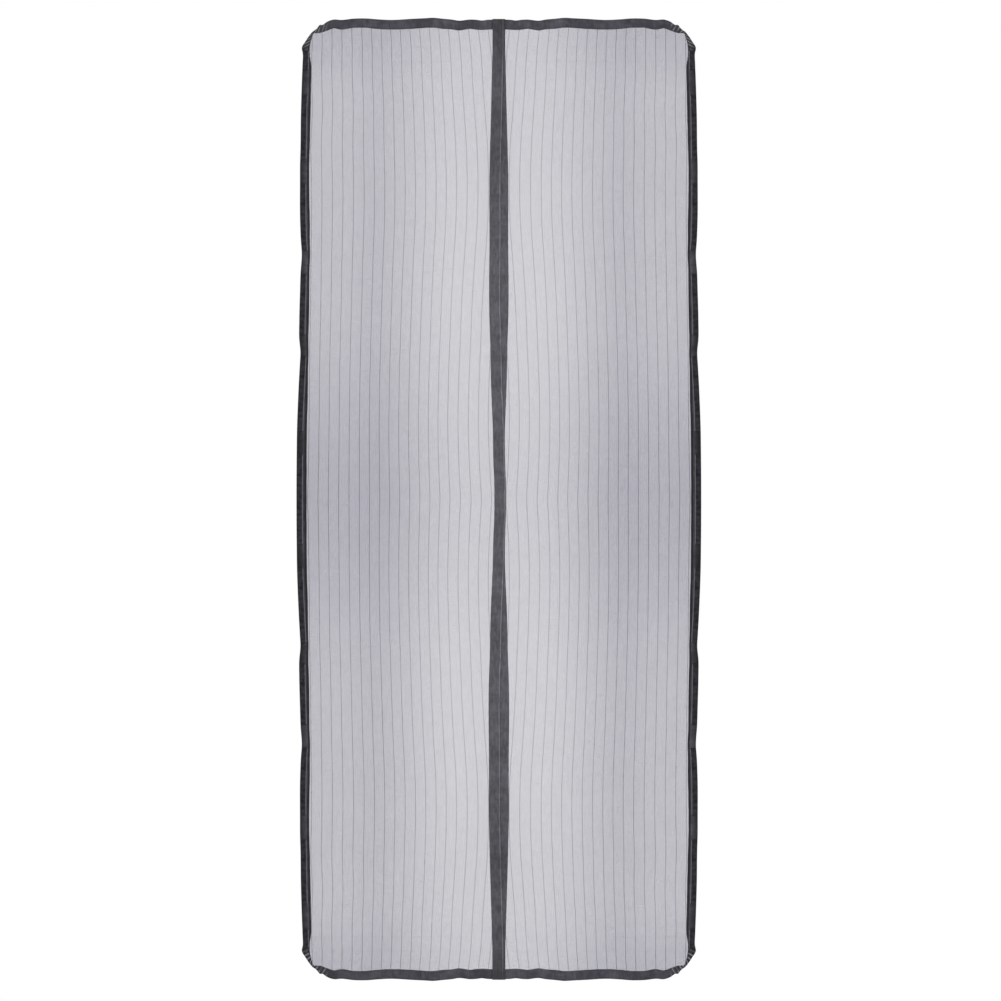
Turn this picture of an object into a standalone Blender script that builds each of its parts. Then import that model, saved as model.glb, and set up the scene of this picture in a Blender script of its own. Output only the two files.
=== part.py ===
"""Magnetic insect screen for a doorway: two net panels in folded tape that meet down the middle.

+X is to the right, +Z is up and the front faces -Y. The origin is on the flat back of the header,
halfway along it, where the screen is fixed over a door. All lengths are in metres.
"""

import math

import bmesh
import bpy
import numpy as np

# Overall size, over the edges of the tape and apart from its waves
SCREEN_HEIGHT = 2.0996
SCREEN_WIDTH = 0.8694

# Folded tape round the net
BINDING_WIDTH = 0.0200
TAPE_THICKNESS = 0.0005
CLEARANCE = 0.0003

# Centre bindings and the magnets in their pockets
CENTRE_WIDTH = 0.0243
CENTRE_OVERHANG = 0.0010
CENTRE_STATIONS = 23
POCKET_ROOM = 0.0010
POCKET_SLOPE = 0.0040
MAGNET_LENGTH = 0.060
MAGNET_WIDTH = 0.0080
MAGNET_THICKNESS = 0.0020
MAGNET_BEVEL = 0.0004
MAGNET_PITCH = 0.220
MAGNET_END_ROOM = 0.120

# Net and its woven stripes. The tuck is how far it goes into the tape, at most a share of the
# tape's width, and the lip is how far outside the tape it lies straight.
NET_THICKNESS = 0.0004
NET_TUCK = 0.0080
CENTRE_TUCK = 0.0060
TUCK_SHARE = 0.4
NET_LIP = 0.0010
BILLOW = 0.0060
SHARP_ANGLE = 30
RIB_WIDTH = 0.0020
RIB_HEIGHT = 0.00025
RIB_PITCH = 0.0225
FIRST_RIB = 0.0378
RIB_EDGE_ROOM = 0.0150

# How the net passes from behind a centre binding into it. The depths are below the header's middle
# line, and the net first lies behind the binding, then beside it, then in its slot.
NET_BEHIND_DEPTH = 0.034
NET_BESIDE_DEPTH = 0.050
NET_LEVEL_DEPTH = 0.085
NET_ENTRY_DEPTH = 0.100
NET_SETTLE_DEPTH = 0.400
NET_BEHIND = 0.0030
NET_BESIDE = 0.0005
NET_EDGE_SHARPNESS = 2
NET_ROWS_BETWEEN = 6

# Hook-and-loop strips on the side bindings, selvedge included
STRIP_WIDTH = 0.0132
STRIP_THICKNESS = 0.0009
STRIP_INSET = 0.0010
STRIP_STATIONS = 4
# Each strip's place, as a share of the half height from the middle, and its length
STRIPS = ((0.0, 0.197), (0.220, 0.164), (0.406, 0.134), (0.588, 0.147), (0.776, 0.141), (0.915, 0.043))

# The header from the middle to a corner: share of the half width, rise of its middle line, share of
# the tape's width
HEADER_SHAPE = (
    (0.000, -0.0005, 1.02),
    (0.060, -0.0017, 1.09),
    (0.086, -0.0026, 1.04),
    (0.111, -0.0017, 1.09),
    (0.141, -0.0005, 1.04),
    (0.206, -0.0032, 1.08),
    (0.232, -0.0012, 1.08),
    (0.282, 0.0005, 1.12),
    (0.332, 0.0029, 1.08),
    (0.372, 0.0021, 1.07),
    (0.438, 0.0004, 1.10),
    (0.544, -0.0015, 1.05),
    (0.614, -0.0001, 1.06),
    (0.664, 0.0019, 1.03),
    (0.730, 0.0018, 1.01),
    (0.795, -0.0016, 1.06),
    (0.830, 0.0001, 0.98),
)

# The folded corner: how far the fold is inward and down from the square corner, the angle from
# straight down at which the tape lies across, and the share of its width that shows
CORNER_OF_HEADER = (
    (0.0576, -0.0042, 2, 0.95),
    (0.0486, 0.0020, 5, 0.79),
    (0.0429, 0.0018, 1, 0.89),
    (0.0366, 0.0096, -6, 0.52),
    (0.0265, 0.0171, 52, 0.21),
)
CORNER_OF_SIDE = (
    (0.0197, 0.0256, 76, 0.35),
    (0.0114, 0.0381, 94, 0.62),
    (0.0040, 0.0505, 94, 0.87),
    (0.0058, 0.0656, 90, 0.76),
)

# A side from the corner to the middle: share of the half height, how far the fold stands outward,
# share of the tape's width
SIDE_SHAPE = (
    (0.905, -0.0051, 0.95),
    (0.870, -0.0037, 1.01),
    (0.800, -0.0016, 1.05),
    (0.726, -0.0006, 1.01),
    (0.701, 0.0002, 1.01),
    (0.661, 0.0004, 1.00),
    (0.581, 0.0001, 1.06),
    (0.536, -0.0018, 0.98),
    (0.514, -0.0035, 0.91),
    (0.471, -0.0009, 0.97),
    (0.431, 0.0004, 1.02),
    (0.371, 0.0020, 1.06),
    (0.336, 0.0021, 1.00),
    (0.306, -0.0006, 0.89),
    (0.281, 0.0007, 0.92),
    (0.252, 0.0024, 0.97),
    (0.202, 0.0048, 1.06),
    (0.152, 0.0067, 1.08),
    (0.092, 0.0076, 1.10),
    (0.000, 0.0081, 1.11),
)

# How far each centre binding's middle line is from the axis, over the share of the half height from
# the hem (-1) to the header (1)
CENTRE_SPREAD = (
    (-1.00, 0.0024),
    (-0.94, 0.0021),
    (-0.88, 0.0038),
    (-0.79, 0.0065),
    (-0.71, 0.0087),
    (-0.66, 0.0096),
    (-0.54, 0.0095),
    (-0.43, 0.0104),
    (-0.38, 0.0097),
    (-0.31, 0.0072),
    (-0.26, 0.0064),
    (-0.21, 0.0045),
    (-0.14, 0.0014),
    (-0.09, 0.0007),
    (0.00, 0.0006),
    (0.09, 0.0007),
    (0.14, 0.0010),
    (0.21, 0.0038),
    (0.26, 0.0055),
    (0.31, 0.0063),
    (0.38, 0.0086),
    (0.43, 0.0092),
    (0.54, 0.0083),
    (0.66, 0.0085),
    (0.71, 0.0077),
    (0.79, 0.0054),
    (0.88, 0.0033),
    (0.94, 0.0017),
    (1.00, 0.0020),
)
# Curves over the share of the half height, from the middle (0) to the header or hem (1): how far both
# centre bindings stand to the right, how far the first rib stands outward, and what its pitch gains
CENTRE_SWAY = (
    (0.000, 0.0030),
    (0.040, 0.0025),
    (0.065, 0.0014),
    (0.090, 0.0006),
    (0.115, 0.0001),
    (0.150, 0.0),
    (0.200, 0.0),
    (1.000, 0.0),
)
RIB_DRIFT = (
    (0.00, 0.0007),
    (0.08, 0.0055),
    (0.17, 0.0077),
    (0.25, 0.0059),
    (0.33, 0.0024),
    (0.41, -0.0011),
    (0.50, -0.0070),
    (0.58, -0.0129),
    (0.65, -0.0145),
    (0.75, -0.0115),
    (0.87, -0.0019),
    (1.00, 0.0072),
)
RIB_GATHER = (
    (0.00, -0.0002),
    (0.17, -0.0008),
    (0.33, -0.0006),
    (0.50, -0.0002),
    (0.62, 0.0001),
    (0.75, 0.0001),
    (0.85, -0.0005),
    (1.00, -0.0013),
)

# Worked out from the sizes above
HALF_WIDTH = SCREEN_WIDTH / 2
HALF_HEIGHT = SCREEN_HEIGHT / 2
HEADER_LINE = (SCREEN_HEIGHT - BINDING_WIDTH) / 2
SLOT = NET_THICKNESS + RIB_HEIGHT + 2 * CLEARANCE
BINDING_THICKNESS = SLOT + 2 * TAPE_THICKNESS
POCKET_WIDTH = MAGNET_WIDTH + 2 * POCKET_ROOM
POCKET_THICKNESS = MAGNET_THICKNESS + 2 * (CLEARANCE + TAPE_THICKNESS)
SEAT = TAPE_THICKNESS + CLEARANCE
CENTRE_BACK = {
    "right": BINDING_THICKNESS + CLEARANCE,
    "left": BINDING_THICKNESS + POCKET_THICKNESS + 2 * CLEARANCE,
}
SIGN = {"left": -1, "right": 1}
RIB_COUNT = 1 + int((HALF_WIDTH - BINDING_WIDTH - FIRST_RIB - RIB_EDGE_ROOM) / RIB_PITCH)
MAGNET_COUNT = 1 + int((SCREEN_HEIGHT - 2 * MAGNET_END_ROOM) / MAGNET_PITCH)


def clear_scene():
    """Start from an empty scene."""
    for thing in list(bpy.data.objects):
        bpy.data.objects.remove(thing, do_unlink=True)


def finish(name, colour, roughness, metallic=0.0):
    """A plain finish for one kind of piece."""
    material = bpy.data.materials.new(name)
    material.use_nodes = True
    shader = material.node_tree.nodes["Principled BSDF"]
    shader.inputs["Base Color"].default_value = (*colour, 1.0)
    shader.inputs["Roughness"].default_value = roughness
    shader.inputs["Metallic"].default_value = metallic
    return material


def add_piece(name, mesh, material, parent):
    """Put a finished mesh into the scene under its own name."""
    bm = bmesh.new()
    bm.from_mesh(mesh)
    bmesh.ops.recalc_face_normals(bm, faces=bm.faces)
    bm.to_mesh(mesh)
    bm.free()
    mesh.materials.append(material)
    piece = bpy.data.objects.new(name, mesh)
    bpy.context.collection.objects.link(piece)
    piece.parent = parent
    return piece


def curve(points, place):
    """Height of the smooth curve through a list of (place, height), flat beyond its ends."""
    places = np.array([p for p, _ in points])
    heights = np.array([h for _, h in points])
    slopes = np.gradient(heights, places)
    place = min(max(place, places[0]), places[-1])
    i = min(int(np.searchsorted(places, place, side="right")) - 1, len(places) - 2)
    span = places[i + 1] - places[i]
    t = (place - places[i]) / span
    start = heights[i] * (1 + 2 * t) * (1 - t) ** 2 + slopes[i] * span * t * (1 - t) ** 2
    end = heights[i + 1] * t * t * (3 - 2 * t) + slopes[i + 1] * span * t * t * (t - 1)
    return float(start + end)


def corner_pair(inward, down, angle, share):
    """Fold and open edge of the tape at one place of the folded corner."""
    across = math.radians(angle)
    width = BINDING_WIDTH * share
    fold = (HALF_WIDTH - inward, HEADER_LINE - down)
    edge = (fold[0] - width * math.sin(across), fold[1] - width * math.cos(across))
    return fold, edge


def header_pairs():
    """Folds and open edges from the middle of the header to the corner's joint, for the right half."""
    pairs = []
    for share, rise, width_share in HEADER_SHAPE:
        half = BINDING_WIDTH * width_share / 2
        place = share * HALF_WIDTH
        pairs.append(((place, HEADER_LINE + rise + half), (place, HEADER_LINE + rise - half)))
    return pairs + [corner_pair(*row) for row in CORNER_OF_HEADER]


def side_pairs():
    """Folds and open edges from the corner's joint down to the middle of the right side."""
    fold, edge = header_pairs()[-1]
    angle = math.radians(CORNER_OF_HEADER[-1][2])
    step = (CLEARANCE * math.cos(angle), -CLEARANCE * math.sin(angle))
    pairs = [((fold[0] + step[0], fold[1] + step[1]), (edge[0] + step[0], edge[1] + step[1]))]
    pairs += [corner_pair(*row) for row in CORNER_OF_SIDE]
    for share, outward, width_share in SIDE_SHAPE:
        height = share * HALF_HEIGHT
        place = HALF_WIDTH + outward
        pairs.append(((place, height), (place - BINDING_WIDTH * width_share, height)))
    return pairs


def mirrored(pairs, across=1, up=1):
    """The pairs with their signs changed across the screen, up it, or both."""
    return [tuple((x * across, h * up) for x, h in pair) for pair in pairs]


def folded_section(width):
    """Outline of the tape folded over the net: distance from the fold, distance in front of the back."""
    t = TAPE_THICKNESS
    full = BINDING_THICKNESS
    return [
        (0, t),
        (t, 0),
        (width, 0),
        (width, t),
        (t, t),
        (t, full - t),
        (width, full - t),
        (width, full),
        (t, full),
        (0, full - t),
    ]


def pocket_section(width):
    """Outline of a centre binding: a magnet pocket at its fold, and a slot for the net at its edge."""
    t = TAPE_THICKNESS
    deep = POCKET_THICKNESS
    thin = BINDING_THICKNESS
    pocket = t + POCKET_WIDTH
    slope = pocket + POCKET_SLOPE
    return [
        (0, t),
        (t, 0),
        (width, 0),
        (width, t),
        (t, t),
        (t, deep - t),
        (pocket, deep - t),
        (slope, thin - t),
        (width, thin - t),
        (width, thin),
        (slope, thin),
        (pocket, deep),
        (t, deep),
        (0, deep - t),
    ]


def strip_section(width):
    """Outline of a fastener strip, with its front edges worn round."""
    soft = STRIP_THICKNESS / 2
    full = STRIP_THICKNESS
    return [(0, 0), (width, 0), (width, soft), (width - soft, full), (soft, full), (0, soft)]


def tape_mesh(name, pairs, section, back):
    """A closed tape through its pairs. Back is how far its back face lies in front of the header's."""
    bm = bmesh.new()
    rings = []
    for fold, edge in pairs:
        width = math.dist(fold, edge)
        ring = []
        for across, forward in section(width):
            x = fold[0] + (edge[0] - fold[0]) * across / width
            h = fold[1] + (edge[1] - fold[1]) * across / width
            ring.append(bm.verts.new((x, -(back + forward), h - HEADER_LINE)))
        rings.append(ring)
    for near, far in zip(rings, rings[1:]):
        for k in range(len(near)):
            after = (k + 1) % len(near)
            bm.faces.new((near[k], near[after], far[after], far[k]))
    bm.faces.new(rings[0])
    bm.faces.new(reversed(rings[-1]))
    mesh = bpy.data.meshes.new(name)
    bm.to_mesh(mesh)
    bm.free()
    return mesh


def add_header(tape, screen):
    """The top binding, one tape from corner to corner."""
    half = header_pairs()
    pairs = mirrored(half[:0:-1], across=-1) + half
    mesh = tape_mesh("top_binding", pairs, folded_section, 0.0)
    return add_piece("top_binding", mesh, tape, screen)


def add_side(side, tape, screen):
    """A side binding, from the top corner to the bottom corner."""
    upper = side_pairs()
    pairs = mirrored(upper + mirrored(upper[-2::-1], up=-1), across=SIGN[side])
    name = f"{side}_side_binding"
    return add_piece(name, tape_mesh(name, pairs, folded_section, 0.0), tape, screen)


def add_hem(side, tape, screen):
    """A bottom binding. The two stop short of each other in the middle, so that the panels can part."""
    half = header_pairs()
    middle = tuple((CLEARANCE / 2, h) for _, h in half[0])
    pairs = mirrored([middle] + half[1:], across=SIGN[side], up=-1)
    name = f"{side}_bottom_binding"
    return add_piece(name, tape_mesh(name, pairs, folded_section, 0.0), tape, screen)


def centre_line(side, height):
    """Where a centre binding's middle line is, across the screen."""
    share = height / HALF_HEIGHT
    return SIGN[side] * curve(CENTRE_SPREAD, share) + curve(CENTRE_SWAY, abs(share))


def centre_pair(side, height):
    """Fold and open edge of a centre binding. The folds face each other."""
    middle = centre_line(side, height)
    half = SIGN[side] * CENTRE_WIDTH / 2
    return (middle - half, height), (middle + half, height)


def add_centre(side, tape, screen):
    """A centre binding, over the header and the hem and from one to the other."""
    end = HALF_HEIGHT + CENTRE_OVERHANG
    pairs = [centre_pair(side, h) for h in np.linspace(end, -end, CENTRE_STATIONS)]
    name = f"{side}_centre_binding"
    return add_piece(name, tape_mesh(name, pairs, pocket_section, CENTRE_BACK[side]), tape, screen)


def magnet_mesh():
    """A bar with its long edges bevelled, centred on its own origin."""
    wide = MAGNET_WIDTH / 2
    thick = MAGNET_THICKNESS / 2
    cut = MAGNET_BEVEL
    corner = [(wide - cut, thick), (wide, thick - cut), (wide, cut - thick), (wide - cut, -thick)]
    outline = corner + [(-x, y) for x, y in reversed(corner)]
    bm = bmesh.new()
    ends = []
    for z in (-MAGNET_LENGTH / 2, MAGNET_LENGTH / 2):
        ends.append([bm.verts.new((x, y, z)) for x, y in outline])
    low, high = ends
    for k in range(len(outline)):
        after = (k + 1) % len(outline)
        bm.faces.new((low[k], low[after], high[after], high[k]))
    bm.faces.new(low)
    bm.faces.new(reversed(high))
    mesh = bpy.data.meshes.new("magnet")
    bm.to_mesh(mesh)
    bm.free()
    return mesh


def add_magnets(side, steel, screen):
    """The bars in one centre binding's pocket, each turned to the tape's slant."""
    for k in range(MAGNET_COUNT):
        height = ((MAGNET_COUNT - 1) / 2 - k) * MAGNET_PITCH
        above = centre_pair(side, height + MAGNET_LENGTH / 2)[0][0]
        below = centre_pair(side, height - MAGNET_LENGTH / 2)[0][0]
        from_fold = TAPE_THICKNESS + POCKET_ROOM + MAGNET_WIDTH / 2
        magnet = add_piece(f"{side}_magnet_{k + 1:02d}", magnet_mesh(), steel, screen)
        magnet.location = (
            (above + below) / 2 + SIGN[side] * from_fold,
            -(CENTRE_BACK[side] + SEAT + MAGNET_THICKNESS / 2),
            height - HEADER_LINE,
        )
        magnet.rotation_euler = (0.0, math.atan2(above - below, MAGNET_LENGTH), 0.0)


def edge_reader(pairs, along):
    """Functions that read the open edge and the tape's width at a place along a run of pairs."""
    places = np.array([edge[along] for _, edge in pairs])
    edges = np.array([edge[1 - along] for _, edge in pairs])
    widths = np.array([math.dist(fold, edge) for fold, edge in pairs])
    order = np.argsort(places)
    places, edges, widths = places[order], edges[order], widths[order]
    return lambda at: float(np.interp(at, places, edges)), lambda at: float(np.interp(at, places, widths))


def add_strips(side, pile, screen):
    """The fastener strips along one side binding, from the top down."""
    pairs = side_pairs()
    heights = np.array([fold[1] for fold, _ in pairs][::-1])
    folds = np.array([fold[0] for fold, _ in pairs][::-1])
    places = [(share, size) for share, size in reversed(STRIPS)]
    places += [(-share, size) for share, size in STRIPS[1:]]
    for k, (share, length) in enumerate(places):
        middle = share * HALF_HEIGHT
        run = []
        for h in np.linspace(middle + length / 2, middle - length / 2, STRIP_STATIONS):
            outer = float(np.interp(abs(h), heights, folds)) - STRIP_INSET
            run.append(((SIGN[side] * outer, h), (SIGN[side] * (outer - STRIP_WIDTH), h)))
        name = f"{side}_fastener_strip_{k + 1:02d}"
        mesh = tape_mesh(name, run, strip_section, BINDING_THICKNESS + CLEARANCE)
        add_piece(name, mesh, pile, screen)


def net_rows():
    """The rows of a panel from header to hem: kind, height above the middle, +1 or -1 for its half."""
    ends = [
        ("slot", HEADER_LINE),
        ("lip", HEADER_LINE),
        ("behind", HEADER_LINE - NET_BEHIND_DEPTH),
        ("beside", HEADER_LINE - NET_BESIDE_DEPTH),
        ("level", HEADER_LINE - NET_LEVEL_DEPTH),
        ("open", HEADER_LINE - NET_ENTRY_DEPTH),
    ]
    top = ends[-1][1]
    between = np.linspace(top, -top, NET_ROWS_BETWEEN + 2)[1:-1]
    rows = [(kind, h, 1) for kind, h in ends]
    rows += [("open", float(h), 1 if h > 0 else -1) for h in between]
    rows += [(kind, -h, -1) for kind, h in reversed(ends)]
    return rows


def rib_place(k, height):
    """Distance of a rib from the screen's middle line. The first rib is the nearest to it."""
    share = abs(height) / HALF_HEIGHT
    pitch = RIB_PITCH + curve(RIB_GATHER, share)
    first = FIRST_RIB + curve(RIB_DRIFT, share)
    return first + k * pitch


def net_places(side, kind, height, sign):
    """Points of one row of a panel from the side to the middle: distance out, height."""
    side_edge, side_width = edge_reader(side_pairs(), 1)
    header_edge, header_width = edge_reader(header_pairs(), 0)
    open_edge = SIGN[side] * centre_pair(side, height)[1][0]
    corner_start = HEADER_SHAPE[-1][0] * HALF_WIDTH
    corner = header_pairs()[-1][1]
    if kind == "slot":
        edge_out = (corner[0] - NET_LIP, corner[1] - NET_LIP)
        lip_out = (corner[0] - NET_TUCK, None)
    elif kind == "lip":
        low = corner[1] - NET_TUCK
        edge_out = (side_edge(low) + TUCK_SHARE * side_width(low), low)
        lip_out = (side_edge(low) - NET_LIP, low)
    else:
        tuck = min(NET_TUCK, TUCK_SHARE * side_width(abs(height)))
        edge_out = (side_edge(abs(height)) + tuck, abs(height))
        lip_out = (side_edge(abs(height)) - NET_LIP, abs(height))
    if kind in ("beside", "level"):
        lip_in, edge_in = open_edge + NET_BESIDE + NET_LIP, open_edge + NET_BESIDE
    elif kind == "open":
        lip_in, edge_in = open_edge + NET_LIP, open_edge - CENTRE_TUCK
    else:
        lip_in, edge_in = open_edge + NET_LIP, open_edge - NET_BEHIND
    ribs = []
    for k in reversed(range(RIB_COUNT)):
        least = lip_in + RIB_WIDTH + 2 * RIB_WIDTH * k
        middle = max(rib_place(k, height), least)
        ribs += [middle + RIB_WIDTH / 2, middle, middle - RIB_WIDTH / 2]
    points = [edge_out, lip_out] + [(place, None) for place in ribs + [lip_in, edge_in]]
    row = []
    for place, at in points:
        if at is None and kind == "lip":
            at = header_edge(place) - NET_LIP
        elif at is None and kind == "slot":
            tuck = min(NET_TUCK, TUCK_SHARE * header_width(place))
            straight = HEADER_LINE - BINDING_WIDTH / 2 + NET_TUCK
            at = straight if place < corner_start else min(straight, header_edge(place) + tuck)
        elif at is None:
            at = abs(height)
        row.append((place, at * sign))
    return row


def ease(share):
    """A smooth step from 0 to 1."""
    share = min(max(share, 0.0), 1.0)
    return share * share * (3 - 2 * share)


def net_row_depths(side, kind, row):
    """How far the back of the net lies in front of the header's back, for each point of a row."""
    lip_out, lip_in = row[1][0], row[-2][0]
    in_centre = 1.0 if kind in ("level", "open") else 0.0
    depths = []
    for place, height in row:
        across = min(max((lip_out - place) / (lip_out - lip_in), 0.0), 1.0)
        lift, swell = 0.0, 0.0
        if kind not in ("slot", "lip"):
            settled = ease((HEADER_LINE - abs(height)) / NET_SETTLE_DEPTH)
            near_centre = ease(across) ** NET_EDGE_SHARPNESS
            rise = settled + (in_centre - settled) * near_centre
            lift = CENTRE_BACK[side] * ease(across) * rise
            swell = BILLOW * math.sin(math.pi * across) * settled
        depths.append(SEAT + lift + swell)
    return depths


def net_mesh(name, side):
    """A closed thin wall with a ridge on its front for each woven stripe."""
    bm = bmesh.new()
    # Two points at the side, three across each stripe and two at the middle
    last = 3 + 3 * RIB_COUNT
    crests = [3 + 3 * k for k in range(RIB_COUNT)]
    back_columns = [0, 1] + crests + [last - 1, last]
    front, back = [], []
    for kind, height, sign in net_rows():
        row = net_places(side, kind, height, sign)
        depths = net_row_depths(side, kind, row)
        # The front follows the straight runs between the points of the back, so the wall stays whole
        outward = [place for place, _ in row]
        runs = back_columns[::-1]
        depths = np.interp(outward, [outward[c] for c in runs], [depths[c] for c in runs])
        points = [(SIGN[side] * place, depth, h - HEADER_LINE) for (place, h), depth in zip(row, depths)]
        line = []
        for c, (x, depth, z) in enumerate(points):
            rise = NET_THICKNESS + (RIB_HEIGHT if c in crests and kind != "slot" else 0.0)
            line.append(bm.verts.new((x, -(depth + rise), z)))
        front.append(line)
        back.append([bm.verts.new((points[c][0], -points[c][1], points[c][2])) for c in back_columns])
    for sheet in (front, back):
        for upper, lower in zip(sheet, sheet[1:]):
            for c in range(len(upper) - 1):
                bm.faces.new((upper[c], lower[c], lower[c + 1]))
                bm.faces.new((upper[c], lower[c + 1], upper[c + 1]))
    for c in (0, -1):
        for r in range(len(front) - 1):
            bm.faces.new((front[r][c], front[r + 1][c], back[r + 1][c], back[r][c]))
    for r in (0, -1):
        for j, (start, end) in enumerate(zip(back_columns, back_columns[1:])):
            for c in range(start, end):
                bm.faces.new((front[r][c], front[r][c + 1], back[r][j]))
            bm.faces.new((front[r][end], back[r][j + 1], back[r][j]))
    mesh = bpy.data.meshes.new(name)
    bm.to_mesh(mesh)
    bm.free()
    return mesh


def add_net(side, net, screen):
    """One net panel, its edges tucked into the tape all round."""
    name = f"{side}_net_panel"
    panel = add_piece(name, net_mesh(name, side), net, screen)
    panel.data.shade_smooth()
    panel.data.set_sharp_from_angle(angle=math.radians(SHARP_ANGLE))
    return panel


def build():
    """The whole screen under one empty."""
    clear_scene()
    screen = bpy.data.objects.new("screen", None)
    bpy.context.collection.objects.link(screen)
    tape = finish("charcoal tape", (0.075, 0.073, 0.085), 0.9)
    centre_tape = finish("grey tape", (0.10, 0.098, 0.112), 0.9)
    pile = finish("black pile", (0.030, 0.029, 0.035), 0.95)
    net = finish("grey net", (0.52, 0.51, 0.55), 0.85)
    steel = finish("magnet steel", (0.25, 0.25, 0.26), 0.35, 1.0)
    add_header(tape, screen)
    for side in SIGN:
        add_side(side, tape, screen)
        add_hem(side, tape, screen)
        add_centre(side, centre_tape, screen)
        add_magnets(side, steel, screen)
        add_strips(side, pile, screen)
        add_net(side, net, screen)
    triangles = sum(len(piece.data.loop_triangles) for piece in screen.children)
    print(len(screen.children), "pieces,", triangles, "triangles")


build()
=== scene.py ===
# %% [markdown]
# # A magnetic insect screen
# The screen hangs in a doorway and closes behind whoever walks through it. It is two panels of fine
# net, bound all round with folded tape. The two tapes in the middle overlap, and small magnets in
# them draw them together again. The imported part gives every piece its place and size. This notebook
# gives each piece its cloth: a net that can be seen through, woven tape, piled strips and stitches.

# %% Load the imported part
import math

import bpy
import bmesh
import numpy as np
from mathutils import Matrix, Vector, noise


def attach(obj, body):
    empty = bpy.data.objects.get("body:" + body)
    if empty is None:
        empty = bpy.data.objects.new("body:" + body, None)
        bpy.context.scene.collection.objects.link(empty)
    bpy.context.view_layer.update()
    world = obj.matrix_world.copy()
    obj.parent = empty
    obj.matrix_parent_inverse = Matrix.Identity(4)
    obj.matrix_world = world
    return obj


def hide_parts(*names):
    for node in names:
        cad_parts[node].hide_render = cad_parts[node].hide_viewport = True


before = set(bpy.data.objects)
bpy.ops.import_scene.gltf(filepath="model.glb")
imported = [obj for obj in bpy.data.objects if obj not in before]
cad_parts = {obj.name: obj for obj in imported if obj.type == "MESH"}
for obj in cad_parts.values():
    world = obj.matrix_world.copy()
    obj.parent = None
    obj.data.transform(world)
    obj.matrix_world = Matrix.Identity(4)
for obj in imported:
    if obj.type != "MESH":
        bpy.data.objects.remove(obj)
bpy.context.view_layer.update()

# %% [markdown]
# ## The sizes that everything shares
# All lengths are in metres. The origin is on the flat back of the header, X runs to the right, Z up,
# and the front of the screen looks along -Y. A screen like this is symmetric up and down as well as
# left and right, so most shapes are given for one quarter and mirrored. Heights are measured from the
# middle of the screen, because that is where the mirror lies.

# %% Sizes of the screen and its tape
SCREEN_HEIGHT = 2.0996
SCREEN_WIDTH = 0.8694
TAPE_WIDTH = 0.0200
CENTRE_WIDTH = 0.0243
CLOTH = 0.0005
TAPE_DEPTH = 0.00225
POCKET_DEPTH = 0.0036
CENTRE_BACK = {"right": 0.00255, "left": 0.00645}
SIGN = {"left": -1, "right": 1}
HALF_WIDTH = SCREEN_WIDTH / 2
HALF_HEIGHT = SCREEN_HEIGHT / 2
HEADER_LINE = (SCREEN_HEIGHT - TAPE_WIDTH) / 2
print("Half the screen is", round(HALF_WIDTH, 4), "by", round(HALF_HEIGHT, 4), "m")

# %% [markdown]
# ## Small helpers for shader nodes
# Cloth is mostly arithmetic on a position: stripes, ribs and threads are all waves of one coordinate.
# A few helpers keep that short. They make a node and fill its sockets, do a sum, ease a value between two
# others, start or place a group with named sockets, and start a material.


# %% Node helpers
def fill(tree, made, inputs):
    """Fill a node's sockets, each with a number or a link."""
    for name, value in inputs.items():
        if isinstance(value, bpy.types.NodeSocket):
            tree.links.new(value, made.inputs[name])
        else:
            made.inputs[name].default_value = value


def node(tree, kind, inputs=None, **settings):
    """A new node, with its settings and its sockets filled."""
    made = tree.nodes.new(kind)
    for name, value in settings.items():
        setattr(made, name, value)
    fill(tree, made, inputs or {})
    return made


def calc(tree, operation, *values, clamp=False):
    """The answer of one Math node."""
    inputs = dict(enumerate(values))
    return node(tree, "ShaderNodeMath", inputs, operation=operation, use_clamp=clamp).outputs[0]


def ramp(tree, value, low, high, start=0.0, end=1.0):
    """Value eased from start to end while it goes from low to high."""
    inputs = {"Value": value, "From Min": low, "From Max": high, "To Min": start, "To Max": end}
    return node(tree, "ShaderNodeMapRange", inputs, interpolation_type="SMOOTHSTEP").outputs["Result"]


def new_group(name, inputs, outputs):
    """An empty shader node group with its sockets. Returns the group and its two end nodes."""
    group = bpy.data.node_groups.new(name, "ShaderNodeTree")
    for label, kind, value in inputs:
        socket = group.interface.new_socket(name=label, in_out="INPUT", socket_type=kind)
        if value is not None:
            socket.default_value = value
    for label, kind in outputs:
        group.interface.new_socket(name=label, in_out="OUTPUT", socket_type=kind)
    return group, group.nodes.new("NodeGroupInput"), group.nodes.new("NodeGroupOutput")


def use_group(tree, group, inputs):
    """Place a group in a material, with its own values."""
    return node(tree, "ShaderNodeGroup", inputs, node_tree=group).outputs


def new_material(name):
    """A new material, its node tree and its shader."""
    material = bpy.data.materials.new(name)
    material.use_nodes = True
    return material, material.node_tree, material.node_tree.nodes["Principled BSDF"]


def add_bump(tree, shader, height, strength, distance):
    """Relief too fine to model, from a height between 0 and 1."""
    bump = node(tree, "ShaderNodeBump", {"Height": height, "Strength": strength, "Distance": distance})
    tree.links.new(bump.outputs["Normal"], shader.inputs["Normal"])


FLOAT, VECTOR = "NodeSocketFloat", "NodeSocketVector"
print("Node helpers are ready")

# %% [markdown]
# ## A studio for it
# A product like this is photographed straight from the front with a long lens, so that its edges stay
# parallel. The backdrop is white to the camera only: Light Path's Is Camera Ray lets the world be white
# behind the net, while the light that falls on the cloth stays even and mild.

# %% Camera, world and lamps
VIEW_HEIGHT = 2.1897
VIEW_CENTRE = (0.0036, -1.0423)
CAMERA_DISTANCE = 60.0

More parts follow.
